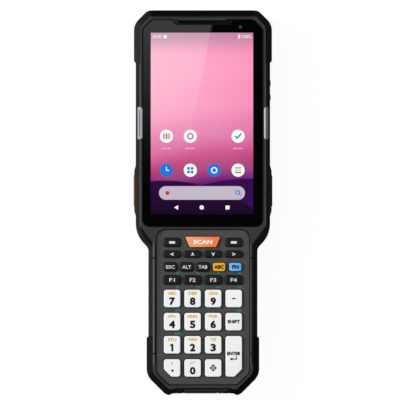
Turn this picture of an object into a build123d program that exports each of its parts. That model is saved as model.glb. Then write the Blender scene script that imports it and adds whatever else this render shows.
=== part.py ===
from build123d import *

import os

# Portable barcode data terminal, lying on its back: the display and the keys face +Z, the
# scanner end points to +Y, and Z = 0 is the plane that it rests on. X = 0 and Y = 0 are the
# middle of the case. Millimetres.

# ---------------------------------------------------------------- display and its glass
glass_width = 63.0
glass_length = 108.4
glass_thickness = 1.4
glass_recess = 0.6              # glass below the rim
glass_gap = 0.15                # glass to case, all round
glass_upper_cut = 4.9           # 45 degree cuts of the upper corners
glass_upper_radius = 4.0
glass_lower_radius = 3.9
glass_edge_radius = 0.25
earpiece_tab_width = 32.4       # the case dips into the glass's upper edge here
earpiece_tab_slant = 2.1
earpiece_tab_depth = 2.5
earpiece_slit_length = 26.0
earpiece_slit_width = 1.5
earpiece_slit_bar = 0.55        # case left between the slit and the glass
ledge_side = 2.5                # case ledge under the glass
ledge_top = 5.2
ledge_bottom = 1.5
display_thickness = 2.4
display_gap = 0.3
front_camera_radius = 1.4
front_camera_inset_x = 12.1     # glass edge to lens centre
front_camera_inset_y = 3.3
front_camera_gap = 0.2

# ---------------------------------------------------------------- keys and their panel
key_column_pitch = 10.76
number_key_width = 8.95
number_key_height = 9.5
enter_key_cut = 4.0             # 45 degree cuts of the lowest outer keys
function_key_height = 4.66
soft_key_width = 8.6
soft_key_height = 4.5
arrow_key_height = 3.5
mode_key_width = 6.75
mode_key_pitch = 8.48
scan_key_width = 19.1
scan_key_height = 5.8
scan_key_slant = 2.5
row_gap = 2.62                  # between rows of large keys
close_row_gap = 2.15            # between the small rows above them
small_key_radius = 1.2
number_key_radius = 1.5
key_edge_radius = 0.6
key_rise = 1.3                  # keys above their panel
key_travel = 0.6
key_side_gap = 0.2              # key to panel
key_stop_gap = 0.1              # key flange to panel, and to the pad at full travel
key_flange = 0.5
key_flange_thickness = 0.7
panel_side_margin = 3.7         # panel edge to the outer keys
panel_top_margin = 4.5
panel_bottom_margin = 4.0
panel_upper_radius = 4.7
panel_lower_cut = 6.2
panel_lower_radius = 3.0
panel_edge_radius = 0.3
panel_thickness = 1.6
panel_recess = 1.4              # panel below the rim
panel_gap = 0.35                # the groove round the panel
panel_ledge = 1.5
membrane_thickness = 0.8
membrane_pad_height = 0.5
membrane_gap = 0.3
keypad_board_thickness = 1.2
keypad_board_tongue = 20.0

# ---------------------------------------------------------------- case
thickness = 27.0                # resting plane to rim
glass_side_wall = 3.7           # glass edge to case side
top_wall = 4.0
shelf = 1.5                     # case between glass and key panel
panel_side_wall = 4.25
bottom_wall = 4.65
head_corner = 6.73              # 45 degree corner cuts
handle_corner = 9.75
head_vertex_radius = 4.0
head_side_radius = 7.2
handle_side_radius = 8.0
handle_vertex_radius = 4.0
shoulder_offset = 4.2           # glass's lower edge to the start of the shoulder
shoulder_drop = 7.2
shoulder_radius = 15.0
waist_radius = 4.0
rim_inset = 2.35                # case side to the rim's outer edge, seen from the front
rim_slope = 2.4                 # height of the sloped front edge
back_inset = 3.0
back_slope = 4.0
rim_edge_radius = 0.6           # rim's outer edge
side_edge_radius = 1.2          # foot of the sloped front edge
back_edge_radius = 1.0          # both edges of the back's slope
shell_wall = 4.7                # case side to cavity
cavity_gap = 0.25
floor_thickness = 2.0
back_recess = 2.5               # depth of the hollow across the head's back
back_recess_start = 0.5
back_recess_end = 78.0
engine_pocket_start = 79.5
notch_width = 0.7               # joint lines across the handle's rim
notch_depth = 1.0
notch_upper_offset = 14.9       # panel's upper edge to the first line
notch_spacing = 50.1
seal_inset = 3.0
seal_width = 0.9
seal_height = 0.8

# ---------------------------------------------------------------- bumpers
bumper_proud = 0.95
bumper_below_rim = 0.8
bumper_land = 0.5
bumper_edge_radius = 0.4
bumper_gap = 0.2
top_bumper_seam = 26.9          # from the middle of the case
top_bumper_length = 26.8        # down the head's side
bottom_bumper_seam = 13.9
bottom_bumper_length = 30.1     # up the handle's side
foot_start = 15.7
foot_end = 17.9

# ---------------------------------------------------------------- battery
battery_width = 47.6
battery_length = 72.0
battery_thickness = 12.0
battery_recess = 0.6            # below the resting plane's rails
battery_gap = 0.3
battery_upper_radius = 3.0
battery_lower_cut = 6.0
battery_lower_radius = 2.0
battery_edge = 0.8
battery_end_wall = 9.7          # battery bay to the case's lower end
bay_floor = 1.3
finger_notch_width = 16.0
finger_notch_length = 5.0
finger_notch_depth = 3.0
catch_spacing = 40.0
catch_width = 6.0
catch_leaf = 0.8
catch_height = 8.3
catch_nose = 1.3
catch_nose_height = 1.6
catch_gap = 0.3
catch_stand_off = 0.7
bay_side_wall = 0.4             # case left between the catch pockets and the bumpers

# ---------------------------------------------------------------- side controls
trigger_length = 17.0
trigger_height = 5.6
trigger_above_glass_edge = 18.8     # trigger's middle above the glass's lower edge
trigger_proud = 1.2
trigger_gap = 0.25
trigger_flange = 0.7
trigger_flange_thickness = 0.8
trigger_stop_gap = 0.1
trigger_edge_radius = 0.9
swell_proud = 0.8
swell_length = 26.6
swell_flat = 21.0
swell_bottom = 9.0
swell_top = 24.2
side_control_height = 18.9
rocker_length = 14.0
rocker_height = 4.6
rocker_depth = 4.2
rocker_below_glass_top = 36.9
rocker_gap = 0.4
rocker_bump = 0.35
rocker_bump_offset = 3.65
rocker_bump_width = 4.0
rocker_pin_radius = 0.8
rocker_pin_reach = 1.2
rocker_pin_depth = 2.6
running_gap = 0.05
light_bar_length = 17.0
light_bar_width = 2.4
light_bar_below_glass_top = 54.2
light_bar_inset = 1.9           # case side to bar centre
light_bar_depth = 4.2
light_bar_proud = 0.2
light_bar_gap = 0.1

# ---------------------------------------------------------------- lower end
port_cover_width = 20.2
port_cover_thickness = 2.0
port_cover_gap = 0.3
port_hinge_gap = 0.6
port_lip = 0.8
port_pin_radius = 0.6
port_pin_length = 9.6
port_grip_width = 1.0
port_grip_depth = 0.4
socket_width = 8.94
socket_height = 3.2
socket_length = 7.2
socket_wall = 0.35
socket_gap = 0.15
socket_mouth_gap = 0.2

# ---------------------------------------------------------------- scanner, camera, boards
window_width = 34.0
window_height = 7.2
window_thickness = 1.2
window_bottom = 4.0
window_recess = 0.9
window_gap = 0.2
window_ledge = 1.0
engine_width = 30.0
engine_length = 14.4
engine_height = 9.4
engine_lens_radius = 2.6
rear_camera_y = 69.0
rear_camera_radius = 4.0
rear_camera_glass = 1.0
rear_camera_barrel = 3.3
rear_camera_depth = 5.5
rear_camera_gap = 0.2
speaker_y = 40.0
speaker_width = 18.0
speaker_length = 12.0
speaker_height = 3.5
speaker_slots = 5
speaker_slot_pitch = 2.4
speaker_slot_width = 1.1
speaker_slot_length = 9.0
chassis_margin = 0.2            # chassis past the main board, on each side
chassis_thickness = 1.2
chassis_overlap = 3.2
standoff_height = 2.8
standoff_radius = 2.2
standoff_spacing_x = 40.0
standoff_spacing_y = 74.0
main_board_width = 52.0
main_board_thickness = 1.4
main_board_top_gap = 12.0       # board's end to the case's upper end
main_board_into_handle = 12.0
battery_connector_width = 16.0
battery_connector_length = 4.4
battery_connector_gap = 0.1
processor_size = 15.0
processor_height = 1.3

# ---------------------------------------------------------------- fasteners and mounting
screw_radius = 1.0
screw_head_radius = 1.8
screw_head_height = 1.4
screw_seat = 4.4
screw_length = 13.4
screw_gap = 0.1
screw_pilot_gap = 0.05
screw_boss_radius = 2.3
screw_from_wall = 1.5           # head screws inward from the cavity's wall
screw_rows = [15.0, 71.5, 111.5]    # head screws below the case's upper end
end_screw_spacing = 28.0
end_screw_inset = 6.7           # above the case's lower end
mount_spacing_x = 30.0
mount_spacing_y = 40.0
mount_y = 40.0
mount_hole_radius = 1.25
mount_hole_depth = 5.5
mount_boss_radius = 3.0
mount_boss_height = 4.5

# ---------------------------------------------------------------- derived places
KEY_ROWS = [
    (soft_key_height, panel_top_margin),
    (arrow_key_height, close_row_gap),
    (function_key_height, row_gap),
    (function_key_height, close_row_gap),
    (number_key_height, row_gap),
    (number_key_height, row_gap),
    (number_key_height, row_gap),
    (number_key_height, row_gap),
]
panel_length = sum(height + gap for height, gap in KEY_ROWS) + panel_bottom_margin
panel_width = 3 * key_column_pitch + number_key_width + 2 * panel_side_margin
case_length = top_wall + glass_length + shelf + panel_length + bottom_wall
case_top = case_length / 2
case_bottom = -case_top
glass_top = case_top - top_wall
glass_bottom = glass_top - glass_length
panel_top = glass_bottom - shelf
panel_bottom = panel_top - panel_length
head_half = glass_width / 2 + glass_side_wall
handle_half = panel_width / 2 + panel_side_wall
shoulder_top = glass_bottom - shoulder_offset
cavity_half = head_half - shell_wall
far = case_length               # beyond every outline

split_height = battery_recess + battery_thickness + battery_gap + bay_floor
glass_seat = thickness - glass_recess - glass_thickness
display_seat = glass_seat - display_thickness
chassis_bottom = display_seat - chassis_thickness
main_board_top = chassis_bottom - standoff_height
main_board_bottom = main_board_top - main_board_thickness
chassis_width = main_board_width + 2 * chassis_margin
panel_seat = thickness - panel_recess - panel_thickness
key_bottom = panel_seat - key_stop_gap - key_flange_thickness
key_top = panel_seat + panel_thickness + key_rise
membrane_pad_top = key_bottom - key_travel - key_stop_gap
membrane_top = membrane_pad_top - membrane_pad_height
membrane_bottom = membrane_top - membrane_thickness
keypad_board_bottom = membrane_bottom - keypad_board_thickness
bay_top = battery_recess + battery_thickness + battery_gap
head_floor = back_recess + floor_thickness

battery_bottom = case_bottom + battery_end_wall + battery_gap
battery_top = battery_bottom + battery_length
battery_middle = (battery_bottom + battery_top) / 2
trigger_y = glass_bottom + trigger_above_glass_edge
rocker_y = glass_top - rocker_below_glass_top
light_bar_y = glass_top - light_bar_below_glass_top
light_bar_x = head_half - light_bar_inset
display_bottom = glass_bottom + ledge_bottom
display_top = glass_top - ledge_top
port_cover_y = case_bottom + port_cover_thickness / 2
port_pin_x = (port_cover_thickness - port_cover_width) / 2
port_floor = split_height + port_lip
front_camera_x = glass_width / 2 - front_camera_inset_x
front_camera_y = glass_top - front_camera_inset_y
end_screw_y = case_bottom + end_screw_inset
screw_places = [
    (side * (cavity_half - screw_from_wall), case_top - below_end, display_seat)
    for side in (-1, 1)
    for below_end in screw_rows
]
screw_places += [
    (side * end_screw_spacing / 2, end_screw_y, membrane_bottom) for side in (-1, 1)
]

os.makedirs("parts", exist_ok=True)


def finish(piece, name):
    """Label a finished piece and write it as one STEP file."""
    piece.part.label = name
    export_step(piece.part, f"parts/{name}.step")


# ---------------------------------------------------------------- helpers
def mirrored_plan(corners, radii):
    """Face of an outline whose right half runs through the corners, top to bottom."""
    with BuildSketch() as plan:
        with BuildLine():
            FilletPolyline(*corners, radius=radii)
            mirror(about=Plane.YZ)
        make_face()
    return plan.sketch


def grown(plan, amount):
    """The same plan with its edge moved outwards, or inwards if the amount is negative."""
    with BuildSketch() as larger:
        add(plan)
        offset(amount=amount)
    return larger.sketch


def within(plan, x_low, x_high, y_low, y_high):
    """The stretch of a plan that lies inside a rectangle."""
    with BuildSketch() as stretch:
        add(plan)
        with Locations(((x_low + x_high) / 2, (y_low + y_high) / 2)):
            Rectangle(x_high - x_low, y_high - y_low, mode=Mode.INTERSECT)
    return stretch.sketch


def fill(plan, low, high, mode=Mode.ADD):
    """Raise a plan from one height to another, in the part being built."""
    with BuildSketch(Plane.XY.offset(low)) as level:
        add(plan)
    extrude(level.sketch, amount=high - low, mode=mode)


def slope(lower_plan, low, upper_plan, high):
    """Join two plans at two heights by a straight slope, in the part being built."""
    with BuildSketch(Plane.XY.offset(low)) as lower:
        add(lower_plan)
    with BuildSketch(Plane.XY.offset(high)) as upper:
        add(upper_plan)
    loft([lower.sketch, upper.sketch], ruled=True)


def block(x_low, x_high, y_low, y_high, z_low, z_high, mode=Mode.ADD):
    """A box between two opposite corners, in the part being built."""
    with Locations(((x_low + x_high) / 2, (y_low + y_high) / 2, (z_low + z_high) / 2)):
        Box(abs(x_high - x_low), y_high - y_low, z_high - z_low, mode=mode)


def post(x, y, radius, low, high, mode=Mode.ADD):
    """An upright cylinder between two heights, in the part being built."""
    with Locations((x, y, (low + high) / 2)):
        Cylinder(radius, high - low, mode=mode)


def round_level_edges(piece, height, radius):
    """Round the edges that run level round the part being built, at one height."""
    nearly = radius / 100
    level = piece.edges().filter_by_position(Axis.Z, height - nearly, height + nearly)
    fillet(level, radius=radius)


def clear_of_screw_posts(low, high):
    """Cut a plate that is being built clear of the case's screw posts."""
    for x, y, seat in screw_places:
        post(x, y, screw_boss_radius + cavity_gap, low, high, Mode.SUBTRACT)


# ---------------------------------------------------------------- plans
case_plan = mirrored_plan(
    [
        (0, case_top),
        (head_half - head_corner, case_top),
        (head_half, case_top - head_corner),
        (head_half, shoulder_top),
        (handle_half, shoulder_top - shoulder_drop),
        (handle_half, case_bottom + handle_corner),
        (handle_half - handle_corner, case_bottom),
        (0, case_bottom),
    ],
    [
        head_vertex_radius,
        head_side_radius,
        shoulder_radius,
        waist_radius,
        handle_side_radius,
        handle_vertex_radius,
    ],
)
rim_plan = grown(case_plan, -rim_inset)
inner_plan = grown(case_plan, -shell_wall)
head_cavity_plan = within(inner_plan, -far, far, glass_bottom + ledge_bottom, far)

glass_plan = mirrored_plan(
    [
        (0, glass_top - earpiece_tab_depth),
        (earpiece_tab_width / 2 - earpiece_tab_slant, glass_top - earpiece_tab_depth),
        (earpiece_tab_width / 2, glass_top),
        (glass_width / 2 - glass_upper_cut, glass_top),
        (glass_width / 2, glass_top - glass_upper_cut),
        (glass_width / 2, glass_bottom),
        (0, glass_bottom),
    ],
    [0.6, 0.6, glass_upper_radius, glass_upper_radius, glass_lower_radius],
)

panel_plan = mirrored_plan(
    [
        (0, panel_top),
        (panel_width / 2, panel_top),
        (panel_width / 2, panel_bottom + panel_lower_cut),
        (panel_width / 2 - panel_lower_cut, panel_bottom),
        (0, panel_bottom),
    ],
    [panel_upper_radius, panel_lower_radius, panel_lower_radius],
)

battery_plan = mirrored_plan(
    [
        (0, battery_top),
        (battery_width / 2, battery_top),
        (battery_width / 2, battery_bottom + battery_lower_cut),
        (battery_width / 2 - battery_lower_cut, battery_bottom),
        (0, battery_bottom),
    ],
    [battery_upper_radius, battery_lower_radius, battery_lower_radius],
)

with BuildSketch() as bumper_core:
    add(rim_plan)
    add(grown(battery_plan, catch_stand_off + catch_leaf + catch_gap + bay_side_wall))

with BuildSketch() as display_opening:
    with Locations((0, (display_top + display_bottom) / 2)):
        Rectangle(glass_width - 2 * ledge_side, display_top - display_bottom)


def corner_zone(seam, side_x, side_y, direction):
    """Plan of a right-hand corner: beyond the seam, and past an end slanted on the side."""
    with BuildSketch() as zone:
        with BuildLine():
            Polyline(
                (seam, side_y),
                (side_x, side_y),
                (side_x + far, side_y + direction * far),
                (side_x + far, direction * 2 * far),
                (seam, direction * 2 * far),
                close=True,
            )
        make_face()
    return zone.sketch


top_zone = corner_zone(top_bumper_seam, head_half, case_top - top_bumper_length, 1)
bottom_zone = corner_zone(
    bottom_bumper_seam, handle_half, case_bottom + bottom_bumper_length, -1
)
bumper_plan = grown(case_plan, bumper_proud)
bumper_top = thickness - bumper_below_rim

with BuildSketch() as foot_cut:
    with BuildLine():
        Polyline(
            (0, case_bottom),
            (foot_start, case_bottom),
            (foot_end, case_bottom - bumper_proud),
            (foot_end, case_bottom - 2 * bumper_proud),
            (0, case_bottom - 2 * bumper_proud),
            close=True,
        )
    make_face()

# ---------------------------------------------------------------- outer forms
with BuildPart() as case_form:
    slope(grown(case_plan, -back_inset), 0, case_plan, back_slope)
    fill(case_plan, back_slope, thickness - rim_slope)
    slope(case_plan, thickness - rim_slope, rim_plan, thickness)
    round_level_edges(case_form, thickness, rim_edge_radius)
    round_level_edges(case_form, thickness - rim_slope, side_edge_radius)
    round_level_edges(case_form, back_slope, back_edge_radius)
    round_level_edges(case_form, 0, back_edge_radius)

with BuildPart() as bumper_form:
    slope(grown(bumper_plan, -back_inset), 0, bumper_plan, back_slope)
    fill(bumper_plan, back_slope, bumper_top - rim_slope)
    slope(bumper_plan, bumper_top - rim_slope, grown(rim_plan, bumper_land), bumper_top)
    round_level_edges(bumper_form, bumper_top, bumper_edge_radius)
    round_level_edges(bumper_form, bumper_top - rim_slope, side_edge_radius)
    round_level_edges(bumper_form, back_slope, back_edge_radius)
    round_level_edges(bumper_form, 0, back_edge_radius)

with BuildPart() as scanner_hood:
    add(bumper_form.part)
    hood_half = top_bumper_seam - bumper_gap
    block(-hood_half, hood_half, case_top - rim_inset, far, 0, thickness, Mode.INTERSECT)

with BuildPart() as trigger_swells:
    with BuildSketch(Plane.XY.offset(swell_bottom)):
        with BuildLine():
            Polyline(
                (head_half - swell_proud, trigger_y + swell_length / 2),
                (head_half, trigger_y + swell_length / 2),
                (head_half + swell_proud, trigger_y + swell_flat / 2),
                (head_half + swell_proud, trigger_y - swell_flat / 2),
                (head_half, trigger_y - swell_length / 2),
                (head_half - swell_proud, trigger_y - swell_length / 2),
                close=True,
            )
        make_face()
    extrude(amount=swell_top - swell_bottom)
    swell_face = trigger_swells.faces().sort_by(Axis.X)[-1]
    chamfer(swell_face.edges().filter_by(Axis.Y), length=0.9 * swell_proud)
    mirror(about=Plane.YZ)

with BuildPart() as bumper_seats:
    fill(top_zone, -thickness, 2 * thickness)
    fill(bottom_zone, -thickness, 2 * thickness)
    mirror(about=Plane.YZ)
    fill(bumper_core.sketch, -thickness, 2 * thickness, Mode.SUBTRACT)

with BuildPart() as outer_form:
    add(case_form.part)
    add(scanner_hood.part)
    add(trigger_swells.part)
    add(bumper_seats.part, mode=Mode.SUBTRACT)


# ---------------------------------------------------------------- keys
def key_plan(x, y, width, height, radius):
    """Rounded rectangle of one key."""
    with BuildSketch() as plan:
        with Locations((x, y)):
            RectangleRounded(width, height, radius)
    return plan.sketch


def cut_key_plan(x, y, width, height, side):
    """Large key with its lower outer corner cut off; side is 1 on the right, -1 on the left."""
    outer = x + side * width / 2
    inner = x - side * width / 2
    with BuildSketch() as plan:
        with BuildLine():
            FilletPolyline(
                (inner, y + height / 2),
                (outer, y + height / 2),
                (outer, y - height / 2 + enter_key_cut),
                (outer - side * enter_key_cut, y - height / 2),
                (inner, y - height / 2),
                radius=number_key_radius,
                close=True,
            )
        make_face()
    return plan.sketch


def scan_key_plan(y):
    """Trapezoid of the scan key, narrower below."""
    half = scan_key_width / 2
    with BuildSketch() as plan:
        with BuildLine():
            FilletPolyline(
                (half, y + scan_key_height / 2),
                (half - scan_key_slant, y - scan_key_height / 2),
                (scan_key_slant - half, y - scan_key_height / 2),
                (-half, y + scan_key_height / 2),
                radius=small_key_radius / 2,
                close=True,
            )
        make_face()
    return plan.sketch


row_y = []
level = panel_top
for row_height, gap_above in KEY_ROWS:
    level -= gap_above + row_height
    row_y.append(level + row_height / 2)
column_x = [(column - 1.5) * key_column_pitch for column in range(4)]
mode_x = [(column - 2) * mode_key_pitch for column in range(5)]

key_plans = {
    "key_scan": scan_key_plan(row_y[0] + (scan_key_height - soft_key_height) / 5),
    "key_soft_left": key_plan(
        column_x[0], row_y[0], soft_key_width, soft_key_height, small_key_radius
    ),
    "key_soft_right": key_plan(
        column_x[3], row_y[0], soft_key_width, soft_key_height, small_key_radius
    ),
}
for name, x in zip(["left", "up", "down", "right"], column_x):
    key_plans["key_" + name] = key_plan(
        x, row_y[1], number_key_width, arrow_key_height, small_key_radius
    )
for name, x in zip(["escape", "alt", "tab", "alpha", "function"], mode_x):
    key_plans["key_" + name] = key_plan(
        x, row_y[2], mode_key_width, function_key_height, small_key_radius
    )
for name, x in zip(["f1", "f2", "f3", "f4"], column_x):
    key_plans["key_" + name] = key_plan(
        x, row_y[3], number_key_width, function_key_height, small_key_radius
    )
NUMBER_ROWS = [
    ["7", "8", "9", "minus"],
    ["4", "5", "6", "shift"],
    ["1", "2", "3"],
    [None, "0", "menu"],
]
for names, y in zip(NUMBER_ROWS, row_y[4:]):
    for name, x in zip(names, column_x):
        if name:
            key_plans["key_" + name] = key_plan(
                x, y, number_key_width, number_key_height, number_key_radius
            )
key_plans["key_point"] = cut_key_plan(
    column_x[0], row_y[7], number_key_width, number_key_height, -1
)
key_plans["key_enter"] = cut_key_plan(
    column_x[3],
    (row_y[6] + row_y[7]) / 2,
    number_key_width,
    2 * number_key_height + row_gap,
    1,
)


def make_key(name, plan):
    """Key cap with the flange that keeps it behind its panel."""
    with BuildPart() as cap:
        flange_top = key_bottom + key_flange_thickness
        fill(grown(plan, key_flange), key_bottom, flange_top)
        fill(plan, flange_top, key_top)
        fillet(cap.faces().sort_by(Axis.Z)[-1].edges(), radius=key_edge_radius)
    finish(cap, name)


for name, plan in key_plans.items():
    make_key(name, plan)

# ---------------------------------------------------------------- key panel and what is under it
with BuildPart() as keypad_panel:
    fill(panel_plan, panel_seat, panel_seat + panel_thickness)
    round_level_edges(keypad_panel, panel_seat + panel_thickness, panel_edge_radius)
    for plan in key_plans.values():
        fill(grown(plan, key_side_gap), panel_seat, thickness, Mode.SUBTRACT)
finish(keypad_panel, "keypad_panel")

with BuildPart() as keypad_membrane:
    fill(grown(panel_plan, -panel_ledge - membrane_gap), membrane_bottom, membrane_top)
    for plan in key_plans.values():
        fill(grown(plan, -key_flange), membrane_top, membrane_pad_top)
finish(keypad_membrane, "keypad_membrane")

board_end = end_screw_y + screw_boss_radius + membrane_gap
with BuildPart() as keypad_board:
    board_plan = grown(inner_plan, -cavity_gap)
    fill(
        within(board_plan, -far, far, board_end, panel_top - membrane_gap),
        keypad_board_bottom,
        membrane_bottom,
    )
    tongue_half = keypad_board_tongue / 2
    fill(
        within(board_plan, -tongue_half, tongue_half, -far, board_end),
        keypad_board_bottom,
        membrane_bottom,
    )
finish(keypad_board, "keypad_board")

# ---------------------------------------------------------------- display stack
with BuildPart() as display_glass:
    fill(glass_plan, glass_seat, glass_seat + glass_thickness)
    round_level_edges(display_glass, glass_seat + glass_thickness, glass_edge_radius)
finish(display_glass, "display_glass")

with BuildPart() as display_module:
    fill(grown(display_opening.sketch, -display_gap), display_seat, glass_seat)
finish(display_module, "display_module")

with BuildPart() as display_chassis:
    chassis_half = chassis_width / 2
    block(
        -chassis_half,
        chassis_half,
        display_bottom + display_gap,
        display_top + chassis_overlap,
        chassis_bottom,
        display_seat,
    )
    with Locations((0, (display_top + display_bottom) / 2, main_board_top + standoff_height / 2)):
        with GridLocations(standoff_spacing_x, standoff_spacing_y, 2, 2):
            Cylinder(standoff_radius, standoff_height)
    clear_of_screw_posts(chassis_bottom, display_seat)
finish(display_chassis, "display_chassis")

with BuildPart() as front_camera:
    camera_bottom = display_seat + front_camera_gap
    post(front_camera_x, front_camera_y, front_camera_radius, camera_bottom, glass_seat)
finish(front_camera, "front_camera")

with BuildPart() as main_board:
    board_half = main_board_width / 2
    board_low = glass_bottom - main_board_into_handle
    board_high = case_top - main_board_top_gap
    fill(
        within(grown(inner_plan, -cavity_gap), -board_half, board_half, board_low, board_high),
        main_board_bottom,
        main_board_top,
    )
    block(
        -battery_connector_width / 2,
        battery_connector_width / 2,
        board_low,
        board_low + battery_connector_length,
        battery_recess + battery_thickness + battery_connector_gap,
        main_board_bottom,
    )
    with Locations((0, (board_low + board_high) / 2, main_board_bottom - processor_height / 2)):
        with GridLocations(1.5 * processor_size, 1.5 * processor_size, 2, 3):
            Box(processor_size, processor_size, processor_height)
    clear_of_screw_posts(main_board_bottom, main_board_top)
finish(main_board, "main_board")

# ---------------------------------------------------------------- shells
screw_tip = screw_seat + screw_length
catch_places = [
    (side, battery_middle + along * catch_spacing / 2) for side in (-1, 1) for along in (-1, 1)
]
catch_bottom = bay_top - catch_height
catch_inner = battery_width / 2 + catch_stand_off
window_middle = window_bottom + window_height / 2
window_outer_y = case_top + bumper_proud - window_recess
window_inner_y = window_outer_y - window_thickness
seal_bottom = split_height - seal_height
port_cover_bottom = port_floor + port_cover_gap
port_recess_y = case_bottom + port_cover_thickness + port_cover_gap
socket_z = keypad_board_bottom - socket_height / 2
rear_lens_seat = back_recess + rear_camera_gap + rear_camera_glass


def side_plane(x, y):
    """Plane facing +X on the side controls' height, its own x along the case."""
    return Plane(origin=(x, y, side_control_height), x_dir=(0, 1, 0), z_dir=(1, 0, 0))


def end_plane(y, z):
    """Plane facing the lower end of the case, its own x across the case."""
    return Plane(origin=(0, y, z), x_dir=(1, 0, 0), z_dir=(0, -1, 0))


with BuildPart() as seal_ring:
    fill(grown(case_plan, -seal_inset), seal_bottom, split_height)
    fill(grown(case_plan, -seal_inset - seal_width), seal_bottom, split_height, Mode.SUBTRACT)
finish(seal_ring, "housing_seal")

with BuildPart() as rear_housing:
    add(outer_form.part)
    split(bisect_by=Plane.XY.offset(split_height), keep=Keep.BOTTOM)
    # hollow across the head's back
    with BuildSketch(Plane.YZ):
        with BuildLine():
            Polyline(
                (back_recess_start - back_recess, -back_recess),
                (back_recess_end + back_recess, -back_recess),
                (back_recess_end - back_recess, back_recess),
                (back_recess_start + back_recess, back_recess),
                close=True,
            )
        make_face()
    extrude(amount=far, both=True, mode=Mode.SUBTRACT)
    # head cavity, deeper under the scan engine
    fill(head_cavity_plan, head_floor, split_height, Mode.SUBTRACT)
    pocket_half = engine_width / 2 + cavity_gap
    fill(
        within(inner_plan, -pocket_half, pocket_half, engine_pocket_start, far),
        floor_thickness,
        split_height,
        Mode.SUBTRACT,
    )
    # battery bay, its catch pockets and the slot for the board's connector
    fill(grown(battery_plan, battery_gap), -thickness, bay_top, Mode.SUBTRACT)
    pocket_outer = catch_inner + catch_leaf + catch_gap
    for side, y in catch_places:
        block(
            side * battery_width / 2,
            side * pocket_outer,
            y - catch_width / 2 - catch_gap,
            y + catch_width / 2 + catch_gap,
            catch_bottom - catch_gap,
            bay_top,
            Mode.SUBTRACT,
        )
    slot_half = battery_connector_width / 2 + battery_gap
    block(
        -slot_half,
        slot_half,
        board_low - battery_gap,
        board_low + battery_connector_length + battery_gap,
        bay_top,
        split_height,
        Mode.SUBTRACT,
    )
    # posts for the screws and for the mounting holes
    for x, y, seat in screw_places:
        post(x, y, screw_boss_radius, screw_seat, split_height)
    with Locations((0, mount_y, head_floor + mount_boss_height / 2)):
        with GridLocations(mount_spacing_x, mount_spacing_y, 2, 2):
            Cylinder(mount_boss_radius, mount_boss_height)
    for x, y, seat in screw_places:
        post(x, y, screw_radius + screw_gap, screw_seat, split_height, Mode.SUBTRACT)
        post(x, y, screw_head_radius + screw_gap, -thickness, screw_seat, Mode.SUBTRACT)
    with Locations((0, mount_y, back_recess + mount_hole_depth / 2)):
        with GridLocations(mount_spacing_x, mount_spacing_y, 2, 2):
            Cylinder(mount_hole_radius, mount_hole_depth, mode=Mode.SUBTRACT)
    # rear camera and speaker
    lens_hole = rear_camera_radius + rear_camera_gap
    post(0, rear_camera_y, lens_hole, 0, rear_lens_seat, Mode.SUBTRACT)
    barrel_hole = rear_camera_barrel + rear_camera_gap
    post(0, rear_camera_y, barrel_hole, 0, head_floor, Mode.SUBTRACT)
    with Locations((0, speaker_y, head_floor - floor_thickness / 2)):
        with GridLocations(speaker_slot_pitch, speaker_slot_length, speaker_slots, 1):
            Box(speaker_slot_width, speaker_slot_length, floor_thickness, mode=Mode.SUBTRACT)
    # scan window's recess and the opening behind it
    with BuildSketch(end_plane(window_inner_y, window_middle)):
        Rectangle(window_width + 2 * window_gap, window_height + 2 * window_gap)
    extrude(amount=-shell_wall, mode=Mode.SUBTRACT)
    with BuildSketch(end_plane(window_inner_y, window_middle)):
        Rectangle(window_width - 2 * window_ledge, window_height - 2 * window_ledge)
    extrude(amount=shell_wall, mode=Mode.SUBTRACT)
    # groove for the seal
    add(seal_ring.part, mode=Mode.SUBTRACT)
finish(rear_housing, "rear_housing")

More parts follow.
